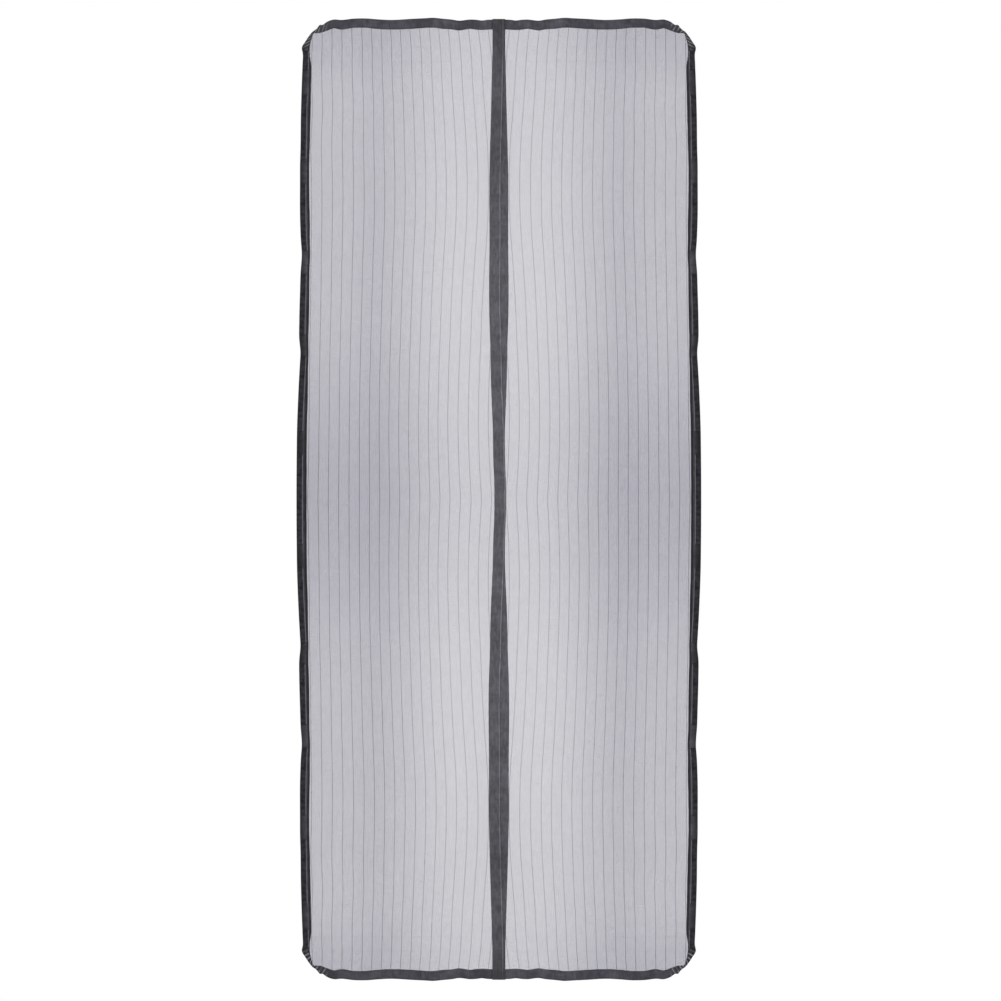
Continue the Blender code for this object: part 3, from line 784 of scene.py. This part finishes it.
# %% [markdown]
# ## A folded tape as a mesh
# The real tape is one strip of cloth folded lengthwise, with the net between its halves. Its section is a
# narrow U with a round fold. The mesh sweeps that U along the run, a few millimetres a step, and the front
# half swells and sinks between the fold and the seam, as sewn cloth does. Where the tape is pinched, its
# spare cloth gathers in small slanting folds. Each point also gets its place in the cloth, in metres,
# which is what the weave is drawn from.

# %% Sweep a section along a run
STEP = 0.0025
FOLD_TURNS = 5
SWELL = 0.0007
# Waves a metre, their share of the swell, how they differ from tape to tape, and how they change across
WAVES = ((22, 0.6, 7.3, 0.0), (75, 0.5, 3.1, 2.0), (170, 0.4, 5.7, 2.5))
GATHER_HEIGHT = 0.0016
PINCH_START, PINCH_SPAN = 0.90, 0.25


def mirrored(run, across=1, up=1):
    """A run with its signs changed."""
    return [tuple((x * across, h * up) for x, h in pair) for pair in run]


def even_run(run, step=STEP):
    """The run at even steps: distance along it, fold and open edge."""
    flat = np.array([[*fold, *edge] for fold, edge in run])
    middle = (flat[:, :2] + flat[:, 2:]) / 2
    lengths = np.concatenate([[0], np.cumsum(np.linalg.norm(np.diff(middle, axis=0), axis=1))])
    places = np.linspace(0, lengths[-1], max(2, int(lengths[-1] / step)))
    return places, soft_curve(np.column_stack([lengths, flat]), places)


def folded_section(width, depth, cloth=CLOTH):
    """The U of a folded tape as a ring of (across, forward, place in the cloth, share across)."""
    outer, inner = [], []
    radius = depth / 2
    path = [(width * s, -1) for s in (1.0, 0.93, 0.8, 0.55, 0.3)]
    path += [(radius, -1)] + [(None, math.radians(a)) for a in np.linspace(-90, -270, FOLD_TURNS + 2)[1:-1]]
    path += [(radius, 1)] + [(width * s, 1) for s in (0.3, 0.55, 0.8, 0.93, 1.0)]
    travelled, last = 0.0, None
    for across, turn in path:
        for ring, reach in ((outer, radius), (inner, radius - cloth)):
            if across is None:
                x, y = radius + reach * math.cos(turn), radius + reach * math.sin(turn)
            else:
                x, y = across, radius + reach * turn
            if ring is outer:
                travelled += 0.0 if last is None else math.dist(last, (x, y))
                last = (x, y)
            ring.append((x, y, travelled, min(x / width, 1.0)))
    return outer + inner[::-1]


def pinched(rows):
    """How much a tape is gathered at each row of a run, from 0 to 1, by how narrow it is there."""
    folds, across = rows[:, :2], rows[:, 2:] - rows[:, :2]
    heading = np.gradient(folds, axis=0)
    square = np.abs(heading[:, 0] * across[:, 1] - heading[:, 1] * across[:, 0]) / np.hypot(*heading.T)
    return np.clip((PINCH_START - square / TAPE_WIDTH) / PINCH_SPAN, 0, 1)


def swell(seed, along, share, pinch):
    """How far a tape's front stands proud at a place, and how high that is from 0 to 1."""
    belly = math.sin(math.pi * min(max(share, 0.0), 1.0)) ** 0.8
    wave = sum(
        size * noise.noise(Vector((along * often, seed * apart, share * change)))
        for often, size, apart, change in WAVES
    )
    gather = pinch * (0.5 + 0.5 * math.sin(2 * math.pi * along / GATHER_PITCH + GATHER_SLANT * share))
    height = belly * (SWELL * (1 + wave) + GATHER_HEIGHT * gather)
    return height, min(max(0.5 + 0.9 * wave + 0.8 * (gather - pinch * 0.5), 0.0), 1.0)


def tape_relief(seed):
    """The swell of one tape, as a function of the place along it and across it and of its pinch."""
    return lambda along, share, pinch: swell(seed, along, share, pinch)


def as_piece(bm, name, material):
    """The object made from a finished mesh. It rides on the part's only body."""
    bmesh.ops.recalc_face_normals(bm, faces=bm.faces)
    mesh = bpy.data.meshes.new(name)
    bm.to_mesh(mesh)
    bm.free()
    mesh.materials.append(material)
    piece = bpy.data.objects.new(name, mesh)
    bpy.context.collection.objects.link(piece)
    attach(piece, "root")
    return piece


def map_face(face, maps, facts):
    """Give each corner of a face its place in each of the piece's maps."""
    for loop, fact in zip(face.loops, facts):
        for layer, spot in zip(maps, fact):
            loop[layer].uv = spot


def sweep(name, run, section, back, relief, material):
    """A closed tape along a run. Back is how far its back lies in front of the header's."""
    places, rows = even_run(run)
    bm = bmesh.new()
    maps = [bm.loops.layers.uv.new(label) for label in ("Cloth", "Spread", "Pinch")]
    rings, data = [], []
    for along, (fx, fh, ex, eh), pinch in zip(places, rows, pinched(rows)):
        width = math.hypot(ex - fx, eh - fh)
        ring, facts = [], []
        for across, forward, travelled, share in section(width):
            x, h = fx + (ex - fx) * across / width, fh + (eh - fh) * across / width
            proud, crest = relief(along, share, pinch) if forward > TAPE_DEPTH / 2 else (0.0, 0.5)
            ring.append(bm.verts.new((x, -(back + forward + proud), h - HEADER_LINE)))
            facts.append(((travelled, along), (share, crest), (pinch, 0.0)))
        rings.append(ring)
        data.append(facts)
    count = len(rings[0])
    for r in range(len(rings) - 1):
        for k in range(count):
            corners = ((r, k), (r, (k + 1) % count), (r + 1, (k + 1) % count), (r + 1, k))
            face = bm.faces.new([rings[i][j] for i, j in corners])
            face.smooth = True
            map_face(face, maps, [data[i][j] for i, j in corners])
    # The two ends
    for r, order in ((0, 1), (-1, -1)):
        for k in range(count // 2 - 1):
            corners = ((r, k), (r, k + 1), (r, count - 2 - k), (r, count - 1 - k))[::order]
            face = bm.faces.new([rings[i][j] for i, j in corners])
            map_face(face, maps, [data[i][j] for i, j in corners])
    return as_piece(bm, name, material)


print("A folded section has", len(folded_section(TAPE_WIDTH, TAPE_DEPTH)), "points")
for label, run in (("header", header_run), ("side", side_run)):
    gathered = pinched(even_run(run)[1])
    print("The share of the", label, "that is gathered is", round(float((gathered > 0).mean()), 3))

# %% [markdown]
# ## The header, the sides and the hems
# One tape runs over the whole top, one down each side, and the bottom has two, so that the halves part.
# The corners are cut at a slant, and the tapes pinch together there.

# %% Bind the outside
def outside_section(width):
    """Section of the header, side and hem tapes."""
    return folded_section(width, TAPE_DEPTH)


def add_tape(name, run, relief, material, node_name):
    """One outside tape, in place of its CAD node."""
    piece = sweep(name, run, outside_section, 0.0, relief, material)
    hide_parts(node_name)
    return piece


HALF_GAP = 0.00015
top_run = mirrored(header_run[:0:-1], across=-1) + header_run
top_relief = tape_relief(1)
side_runs, side_reliefs, hem_runs, hem_reliefs = {}, {}, {}, {}
tapes = {"top": add_tape("top_tape", top_run, top_relief, charcoal_tape, "top_binding")}
for number, side in enumerate(SIGN):
    side_runs[side] = mirrored(side_run + mirrored(side_run[-2::-1], up=-1), across=SIGN[side])
    hem_start = tuple((HALF_GAP, h) for _, h in header_run[0])
    hem_runs[side] = mirrored([hem_start] + header_run[1:], across=SIGN[side], up=-1)
    side_reliefs[side], hem_reliefs[side] = tape_relief(2 + number), tape_relief(4 + number)
    tapes[side] = add_tape(
        f"{side}_side_tape", side_runs[side], side_reliefs[side], side_tape, f"{side}_side_binding"
    )
    tapes[side + "_hem"] = add_tape(
        f"{side}_hem_tape", hem_runs[side], hem_reliefs[side], charcoal_tape, f"{side}_bottom_binding"
    )
print("Outside tapes:", ", ".join(t.name for t in tapes.values()))

# %% [markdown]
# ## The centre tapes
# These are wider and greyer. Each holds its magnets in a pocket along its fold, and the two folds overlap,
# left over right. They spread apart between the ends and draw together at the waist, which gives the
# closure its long hourglass outline.

# %% Bind the middle
# Share of the half height from the hem (-1) to the header (1), how far each tape's middle is outward
CENTRE_SPREAD = (
    (-1.00, 0.0024),
    (-0.94, 0.0021),
    (-0.88, 0.0038),
    (-0.79, 0.0065),
    (-0.71, 0.0087),
    (-0.66, 0.0096),
    (-0.54, 0.0095),
    (-0.43, 0.0104),
    (-0.38, 0.0097),
    (-0.31, 0.0072),
    (-0.26, 0.0064),
    (-0.21, 0.0045),
    (-0.14, 0.0014),
    (-0.09, 0.0007),
    (0.00, 0.0006),
    (0.09, 0.0007),
    (0.14, 0.0010),
    (0.21, 0.0038),
    (0.26, 0.0055),
    (0.31, 0.0063),
    (0.38, 0.0086),
    (0.43, 0.0092),
    (0.54, 0.0083),
    (0.66, 0.0085),
    (0.71, 0.0077),
    (0.79, 0.0054),
    (0.88, 0.0033),
    (0.94, 0.0017),
    (1.00, 0.0020),
)
# Share of the half height from the middle (0) to either end (1), how far both tapes are to the right
CENTRE_SWAY = (
    (0.000, 0.0030),
    (0.040, 0.0025),
    (0.065, 0.0014),
    (0.090, 0.0006),
    (0.115, 0.0001),
    (0.150, 0.0),
    (0.200, 0.0),
    (1.000, 0.0),
)
CENTRE_OVERHANG = 0.0010
CENTRE_PLACES = 61
POCKET_WIDTH = 0.0105
POCKET_SLOPE = 0.0040


def centre_middle(side, height):
    """Where a centre tape's middle line is."""
    share = height / HALF_HEIGHT
    spread, sway = soft_curve(CENTRE_SPREAD, share)[0, 0], soft_curve(CENTRE_SWAY, abs(share))[0, 0]
    return float(SIGN[side] * spread + sway)


def centre_section(width):
    """The folded section, deeper along the fold where the pocket is."""
    ring = []
    for across, forward, travelled, share in folded_section(width, TAPE_DEPTH):
        t = min(max((across - POCKET_WIDTH) / POCKET_SLOPE, 0.0), 1.0)
        room = (POCKET_DEPTH - TAPE_DEPTH) * (1 - t * t * (3 - 2 * t))
        ring.append((across, forward + room * min(max(forward / TAPE_DEPTH, 0.0), 1.0), travelled, share))
    return ring


def centre_run(side):
    """Folds and open edges of a centre tape from top to bottom."""
    run, end = [], HALF_HEIGHT + CENTRE_OVERHANG
    for h in np.linspace(end, -end, CENTRE_PLACES):
        middle, half = centre_middle(side, h), SIGN[side] * CENTRE_WIDTH / 2
        run.append(((middle - half, h), (middle + half, h)))
    return run


centre_runs = {side: centre_run(side) for side in SIGN}
centre_reliefs = {side: tape_relief(6 + number) for number, side in enumerate(SIGN)}
for side in SIGN:
    piece = sweep(
        f"{side}_centre_tape",
        centre_runs[side],
        centre_section,
        CENTRE_BACK[side],
        centre_reliefs[side],
        grey_tape,
    )
    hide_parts(f"{side}_centre_binding")
    tapes[side + "_centre"] = piece
waist = centre_middle("right", 0) - centre_middle("left", 0)
print("At the waist the two middles are", round(waist, 4), "m apart")

# %% [markdown]
# ## The fastener strips
# Short strips of black pile are sewn along each side, and hold the screen to the door frame. A strip is
# soft, so it follows the swell of the tape under it. The pile stands a little higher than the pale
# selvedge, which is where the needle goes.

# %% Lay the strips
STRIP_WIDTH = 0.0132
STRIP_THICKNESS = 0.0009
STRIP_INSET = 0.0010
STRIP_GAP = 0.0003
STRIP_PLACES = 9
STRIPS = ((0.0, 0.197), (0.220, 0.164), (0.406, 0.134), (0.588, 0.147), (0.776, 0.141), (0.915, 0.043))
# The selvedge's height as a share of the pile's, and where its sewn ridge rises over that
SELVEDGE_THICKNESS = 0.55
SELVEDGE_RIDGE = 1.15
PILE_SHARES = (0.79, 0.62, 0.42, 0.25, 0.12)


def strip_section(width):
    """A strip with a thick pile and a thin selvedge, as a ring of points."""
    full, thin = STRIP_THICKNESS, STRIP_THICKNESS * SELVEDGE_THICKNESS
    points = [(width * s, 0.0) for s in (0.04, 0.5, 0.96)] + [(width, thin * 0.5), (width * 0.97, thin)]
    points += [(width * SELVEDGE_ROW, thin * SELVEDGE_RIDGE), (width * (SELVEDGE_START + 0.01), thin)]
    points += [(width * s, full) for s in PILE_SHARES] + [(width * 0.05, full * 0.85), (0.0, full * 0.4)]
    return [(x, TAPE_DEPTH + y, x, x / width) for x, y in points]


fold_heights, fold_places = zip(*((h, x) for (x, h), _ in reversed(side_run)))


def fold_at(height):
    """How far out the fold of a side tape is at a height."""
    return float(np.interp(abs(height), fold_heights, fold_places))


def strip_relief(side, top):
    """The swell of the side tape under a strip whose top is at a height, as a function."""
    alongs, rows = even_run(side_runs[side])
    heights = (rows[:, 1] + rows[:, 3])[::-1] / 2
    widths = np.hypot(rows[:, 2] - rows[:, 0], rows[:, 3] - rows[:, 1])[::-1]
    table = np.column_stack([alongs[::-1], widths, pinched(rows)[::-1]])

    def relief(along, share, _):
        place, width, pinch = (float(np.interp(top - along, heights, column)) for column in table.T)
        return side_reliefs[side](place, (STRIP_INSET + share * STRIP_WIDTH) / width, pinch)

    return relief


strip_spots = [(share * HALF_HEIGHT, size) for share, size in reversed(STRIPS)]
strip_spots += [(-share * HALF_HEIGHT, size) for share, size in STRIPS[1:]]
strips, strip_reliefs = {side: [] for side in SIGN}, {side: [] for side in SIGN}
for side in SIGN:
    for k, (middle, length) in enumerate(strip_spots):
        run = []
        for h in np.linspace(middle + length / 2, middle - length / 2, STRIP_PLACES):
            outer = fold_at(h) - STRIP_INSET
            run.append(((SIGN[side] * outer, h), (SIGN[side] * (outer - STRIP_WIDTH), h)))
        relief = strip_relief(side, middle + length / 2)
        strip_reliefs[side].append(relief)
        piece = sweep(f"{side}_pile_strip_{k + 1:02d}", run, strip_section, STRIP_GAP, relief, black_pile)
        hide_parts(f"{side}_fastener_strip_{k + 1:02d}")
        strips[side].append(piece)
print("Strips a side:", len(strip_spots))

# %% [markdown]
# ## The net
# Each panel is one piece of net, cut to the height and tucked into the tape all round. It bellies forward a
# little. Its stripes run down the cloth, and they drift sideways with it, so the cloth's own coordinate
# counts from stripe to stripe.

# %% Hang the net
NET_TUCK = 0.0070
TUCK_SHARE = 0.35
SEAT = 0.0010
BILLOW = 0.0060
SETTLE = 0.400
LIFT_START, LIFT_ROOM = 0.010, 0.05
RIPPLE, RIPPLES_A_METRE = 0.0012, (9, 6)
CREASE_RISE, CREASE_REACH = 0.0006, 0.003
STRIPE_RISE = 0.00025
FIRST_STRIPE = 0.0378
STRIPES = 17
# Over the share of the half height from the middle (0) to either end (1), how far out the stripes drift
STRIPE_DRIFT = (
    (0.000, 0.0007),
    (0.080, 0.0055),
    (0.165, 0.0077),
    (0.245, 0.0061),
    (0.330, 0.0024),
    (0.410, -0.0010),
    (0.495, -0.0067),
    (0.580, -0.0129),
    (0.660, -0.0145),
    (0.745, -0.0118),
    (0.810, -0.0063),
    (0.870, -0.0019),
    (0.907, 0.0001),
    (0.915, 0.0007),
    (0.945, 0.0033),
    (0.970, 0.0067),
    (1.000, 0.0103),
)
# Over the same share, what their pitch gains
STRIPE_GATHER = (
    (0.000, -0.0002),
    (0.080, -0.0006),
    (0.165, -0.0008),
    (0.330, -0.0006),
    (0.410, -0.0005),
    (0.495, -0.0002),
    (0.580, 0.0001),
    (0.660, 0.0002),
    (0.745, 0.0001),
    (0.810, -0.0004),
    (0.910, -0.0007),
    (1.000, -0.0014),
)
# Over the stripe's number from the middle, how much further out it lies than the even pitch puts it
STRIPE_UNEVEN = (
    (-1, -0.0008),
    (1, -0.0004),
    (3, 0.0012),
    (5, 0.0004),
    (8, 0.0),
    (12, -0.0010),
    (14, 0.0),
    (17, 0.0008),
)
NET_ROWS = 340
LEAST_COLUMN = 0.0001


def ease(share):
    """A smooth step from 0 to 1."""
    share = min(max(share, 0.0), 1.0)
    return share * share * (3 - 2 * share)


def edge_reader(run, way):
    """A function of a place along X (0) or Z (1): where a run's open edge is, and the net's reach past it."""
    at, edges, widths = zip(*sorted((edge[way], edge[1 - way], math.dist(fold, edge)) for fold, edge in run))

    def read(place):
        width = float(np.interp(place, at, widths))
        return float(np.interp(place, at, edges)), min(NET_TUCK, TUCK_SHARE * width)

    return read


side_edge_at, header_edge_at = edge_reader(side_run, 1), edge_reader(header_run, 0)


def net_depth(side, x, h, across):
    """How far a net lies in front of the header's back, at a share of the way in from its outer edge."""
    room = HEADER_LINE - abs(h)
    settled, bow = ease(room / SETTLE), math.sin(math.pi * across)
    lift = CENTRE_BACK[side] * ease(across) * (settled + (1 - settled) * ease(across) ** 2)
    depth = SEAT + lift * ease((room - LIFT_START) / LIFT_ROOM) + BILLOW * bow * settled
    across_waves, down_waves = RIPPLES_A_METRE
    ripple = noise.noise(Vector((x * across_waves, h * down_waves, SIGN[side] * 5.0)))
    depth += RIPPLE * ripple * settled * bow
    for crease in CREASES:
        apart = (abs(h) / HALF_HEIGHT - crease) / CREASE_REACH
        depth += CREASE_RISE * math.exp(-(apart**2)) * across * (1 - across)
    return depth


def add_net(side):
    """One net panel, with a ridge for each stripe."""
    bm = bmesh.new()
    maps = [bm.loops.layers.uv.new(label) for label in ("Cloth", "Spread")]
    top = HALF_HEIGHT - TAPE_WIDTH + NET_TUCK
    heights = np.linspace(top, -top, NET_ROWS)
    shares = np.abs(heights) / HALF_HEIGHT
    drift, gather = soft_curve(STRIPE_DRIFT, shares)[:, 0], soft_curve(STRIPE_GATHER, shares)[:, 0]
    spread = soft_curve(CENTRE_SPREAD, heights / HALF_HEIGHT)[:, 0]
    sway = soft_curve(CENTRE_SWAY, shares)[:, 0]
    grid, facts = [], []
    corner_place, corner_height = header_run[-1][1]
    # Columns between, beside and on each stripe, as numbers of stripes
    beside = STRIPE_WIDTH / STRIPE_PITCH
    steps = sorted({k + d for k in range(-1, STRIPES + 1) for d in (-0.5, -0.25, -beside, 0.0, beside, 0.25)})
    wide = np.array([steps[0] - 2, *steps, steps[-1] + 2])
    uneven = soft_curve(STRIPE_UNEVEN, wide)[:, 0]
    for row, h in enumerate(heights):
        inner_edge = spread[row] + SIGN[side] * sway[row] + CENTRE_WIDTH / 2
        inner = inner_edge - NET_TUCK
        side_edge, side_tuck = side_edge_at(min(abs(h), corner_height))
        outer = side_edge + side_tuck
        if abs(h) > corner_height:
            outer = min(outer, corner_place)
        pitch = STRIPE_PITCH + gather[row]
        free = FIRST_STRIPE + drift[row] + wide * pitch + uneven
        line, places = [], []
        for number, x in zip([-2, *steps, STRIPES + 1], [inner, *free[1:-1], outer]):
            x = max(x, inner + LEAST_COLUMN * (number + 2))
            x = min(x, outer - LEAST_COLUMN * (STRIPES + 1 - number))
            at = float(np.interp(x, free, wide))
            across = min(max((side_edge - x) / (side_edge - inner_edge), 0.0), 1.0)
            forward = net_depth(side, x, h, across)
            if abs(at - round(at)) < 0.01 and 0 <= round(at) < STRIPES:
                forward += STRIPE_RISE
            header_edge, header_tuck = header_edge_at(x)
            height = math.copysign(min(abs(h), header_edge + header_tuck), h)
            line.append(bm.verts.new((SIGN[side] * x, -forward, height - HEADER_LINE)))
            places.append(((at * STRIPE_PITCH, height), (across, height / HALF_HEIGHT)))
        grid.append(line)
        facts.append(places)
    for r in range(len(grid) - 1):
        for c in range(len(grid[r]) - 1):
            corners = ((r, c), (r, c + 1), (r + 1, c + 1), (r + 1, c))
            face = bm.faces.new([grid[i][j] for i, j in corners])
            face.smooth = True
            map_face(face, maps, [facts[i][j] for i, j in corners])
    piece = as_piece(bm, f"{side}_net", striped_net)
    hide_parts(f"{side}_net_panel")
    return piece


nets = {side: add_net(side) for side in SIGN}
print("Net faces:", {side: len(net.data.polygons) for side, net in nets.items()})

# %% [markdown]
# ## Stitches
# A row of lockstitch holds each tape down near its open edge. Each stitch is a short thread that rises from
# one hole and sinks into the next.

# %% Sew the tapes
STITCH = 0.0034
STITCH_GAP = 0.0008
THREAD = 0.00022
THREAD_SIDES = 5
# Share of the stitch's length, and how high its middle line lies over the cloth
STITCH_ARCH = ((0.0, -0.00018), (0.18, 0.00012), (0.5, 0.0002), (0.82, 0.00012), (1.0, -0.00018))
OUT = np.array([0.0, -1.0, 0.0])


def add_stitch(bm, cloth_map, line, lengths, start, size):
    """One stitch from a place on the line, as a closed bent thread."""
    rings = []
    ahead = [np.interp(start + size, lengths, line[:, i]) for i in range(3)]
    along = np.array(ahead) - [np.interp(start, lengths, line[:, i]) for i in range(3)]
    across = np.cross(along / np.linalg.norm(along), OUT)
    for share, rise in STITCH_ARCH:
        place = start + share * size
        point = np.array([np.interp(place, lengths, line[:, i]) for i in range(3)]) + OUT * rise
        ring = []
        for s in range(THREAD_SIDES):
            angle = 2 * math.pi * s / THREAD_SIDES
            ring.append(bm.verts.new(point + (across * math.cos(angle) + OUT * math.sin(angle)) * THREAD))
        rings.append((place, ring))
    for (near_at, near), (far_at, far) in zip(rings, rings[1:]):
        for s in range(THREAD_SIDES):
            after = (s + 1) % THREAD_SIDES
            face = bm.faces.new((near[s], near[after], far[after], far[s]))
            face.smooth = True
            spots = ((s, near_at), (s + 1, near_at), (s + 1, far_at), (s, far_at))
            for loop, (turn, place) in zip(face.loops, spots):
                loop[cloth_map].uv = (turn * THREAD, place)
    bm.faces.new(rings[0][1][::-1])
    bm.faces.new(rings[-1][1])


def sew(name, lines, material):
    """Rows of stitches, each along a line of points that lies on the cloth's face."""
    bm = bmesh.new()
    cloth_map = bm.loops.layers.uv.new("Cloth")
    for line in map(np.array, lines):
        lengths = np.concatenate([[0], np.cumsum(np.linalg.norm(np.diff(line, axis=0), axis=1))])
        count = max(1, int(lengths[-1] / (STITCH + STITCH_GAP)))
        pitch = lengths[-1] / count
        for k in range(count):
            add_stitch(bm, cloth_map, line, lengths, k * pitch, pitch - STITCH_GAP)
    return as_piece(bm, name, material)


def line_on(run, inset, depth, relief):
    """Points on a tape's front, a little in from its open edge."""
    places, rows = even_run(run)
    line = []
    for along, (fx, fh, ex, eh), pinch in zip(places, rows, pinched(rows)):
        width = math.hypot(ex - fx, eh - fh)
        share = 1 - min(inset / width, 0.5)
        proud = relief(along, share, pinch)[0]
        line.append((fx + (ex - fx) * share, -(depth + proud), fh + (eh - fh) * share - HEADER_LINE))
    return line


SEAM_INSET = 0.0020
seams = {"top": sew("top_stitches", [line_on(top_run, SEAM_INSET, TAPE_DEPTH, top_relief)], dark_thread)}
for side in SIGN:
    rows = {
        "side": line_on(side_runs[side], SEAM_INSET, TAPE_DEPTH, side_reliefs[side]),
        "hem": line_on(hem_runs[side], SEAM_INSET, TAPE_DEPTH, hem_reliefs[side]),
        "centre": line_on(
            centre_runs[side], SEAM_INSET, CENTRE_BACK[side] + TAPE_DEPTH, centre_reliefs[side]
        ),
    }
    for part, row in rows.items():
        thread = grey_thread if part == "centre" else dark_thread
        seams[f"{side}_{part}"] = sew(f"{side}_{part}_stitches", [row], thread)
print("Seams:", len(seams), "with", sum(len(s.data.polygons) for s in seams.values()), "faces")

# %% [markdown]
# ## Stitches on the strips
# Each strip is sewn down with a paler thread along its selvedge, and with a short dark row across each end.

# %% Sew the strips
END_ROW_INSET = 0.0022
END_ROW = (0.08, 0.92)
END_ROW_POINTS = 9


def on_strip(side, relief, top, height, share):
    """A point on the front of a strip."""
    x = fold_at(height) - STRIP_INSET - share * STRIP_WIDTH
    thickness = STRIP_THICKNESS * (1.0 if share < SELVEDGE_START else SELVEDGE_THICKNESS * SELVEDGE_RIDGE)
    proud = relief(top - height, share, 0.0)[0]
    return (SIGN[side] * x, -(TAPE_DEPTH + STRIP_GAP + thickness + proud), height - HEADER_LINE)


for side in SIGN:
    long_rows, end_rows = [], []
    for (middle, length), relief in zip(strip_spots, strip_reliefs[side]):
        top, bottom = middle + length / 2, middle - length / 2
        ends = (top - END_ROW_INSET, bottom + END_ROW_INSET)
        down = np.linspace(*ends, int(length / STEP))
        long_rows.append([on_strip(side, relief, top, h, SELVEDGE_ROW) for h in down])
        for h in ends:
            shares = np.linspace(*END_ROW, END_ROW_POINTS)
            end_rows.append([on_strip(side, relief, top, h, share) for share in shares])
    seams[f"{side}_strips"] = sew(f"{side}_strip_stitches", long_rows, pale_thread)
    seams[f"{side}_strip_ends"] = sew(f"{side}_strip_end_stitches", end_rows, dark_thread)
print("Strip seams have", sum(len(s.data.polygons) for name, s in seams.items() if "strip" in name), "faces")

# %% [markdown]
# ## The magnets
# They are the part's own bars, and only need their plating.

# %% Finish the magnets
for name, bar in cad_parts.items():
    if "magnet" in name:
        bar.data.materials.clear()
        bar.data.materials.append(plated_steel)
print("Magnets finished:", sum("magnet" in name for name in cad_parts))

# %% [markdown]
# ## What each net panel carries
# The two net panels are sheets that hang from the header. Each was cut to a flat size before it was bound,
# and its tapes, strips and stitches go with it.

for side, net in nets.items():
    carried = [tapes[side], tapes[side + "_hem"], tapes[side + "_centre"], *strips[side]]
    carried += [seams[f"{side}_{part}"] for part in ("side", "hem", "centre", "strips", "strip_ends")]
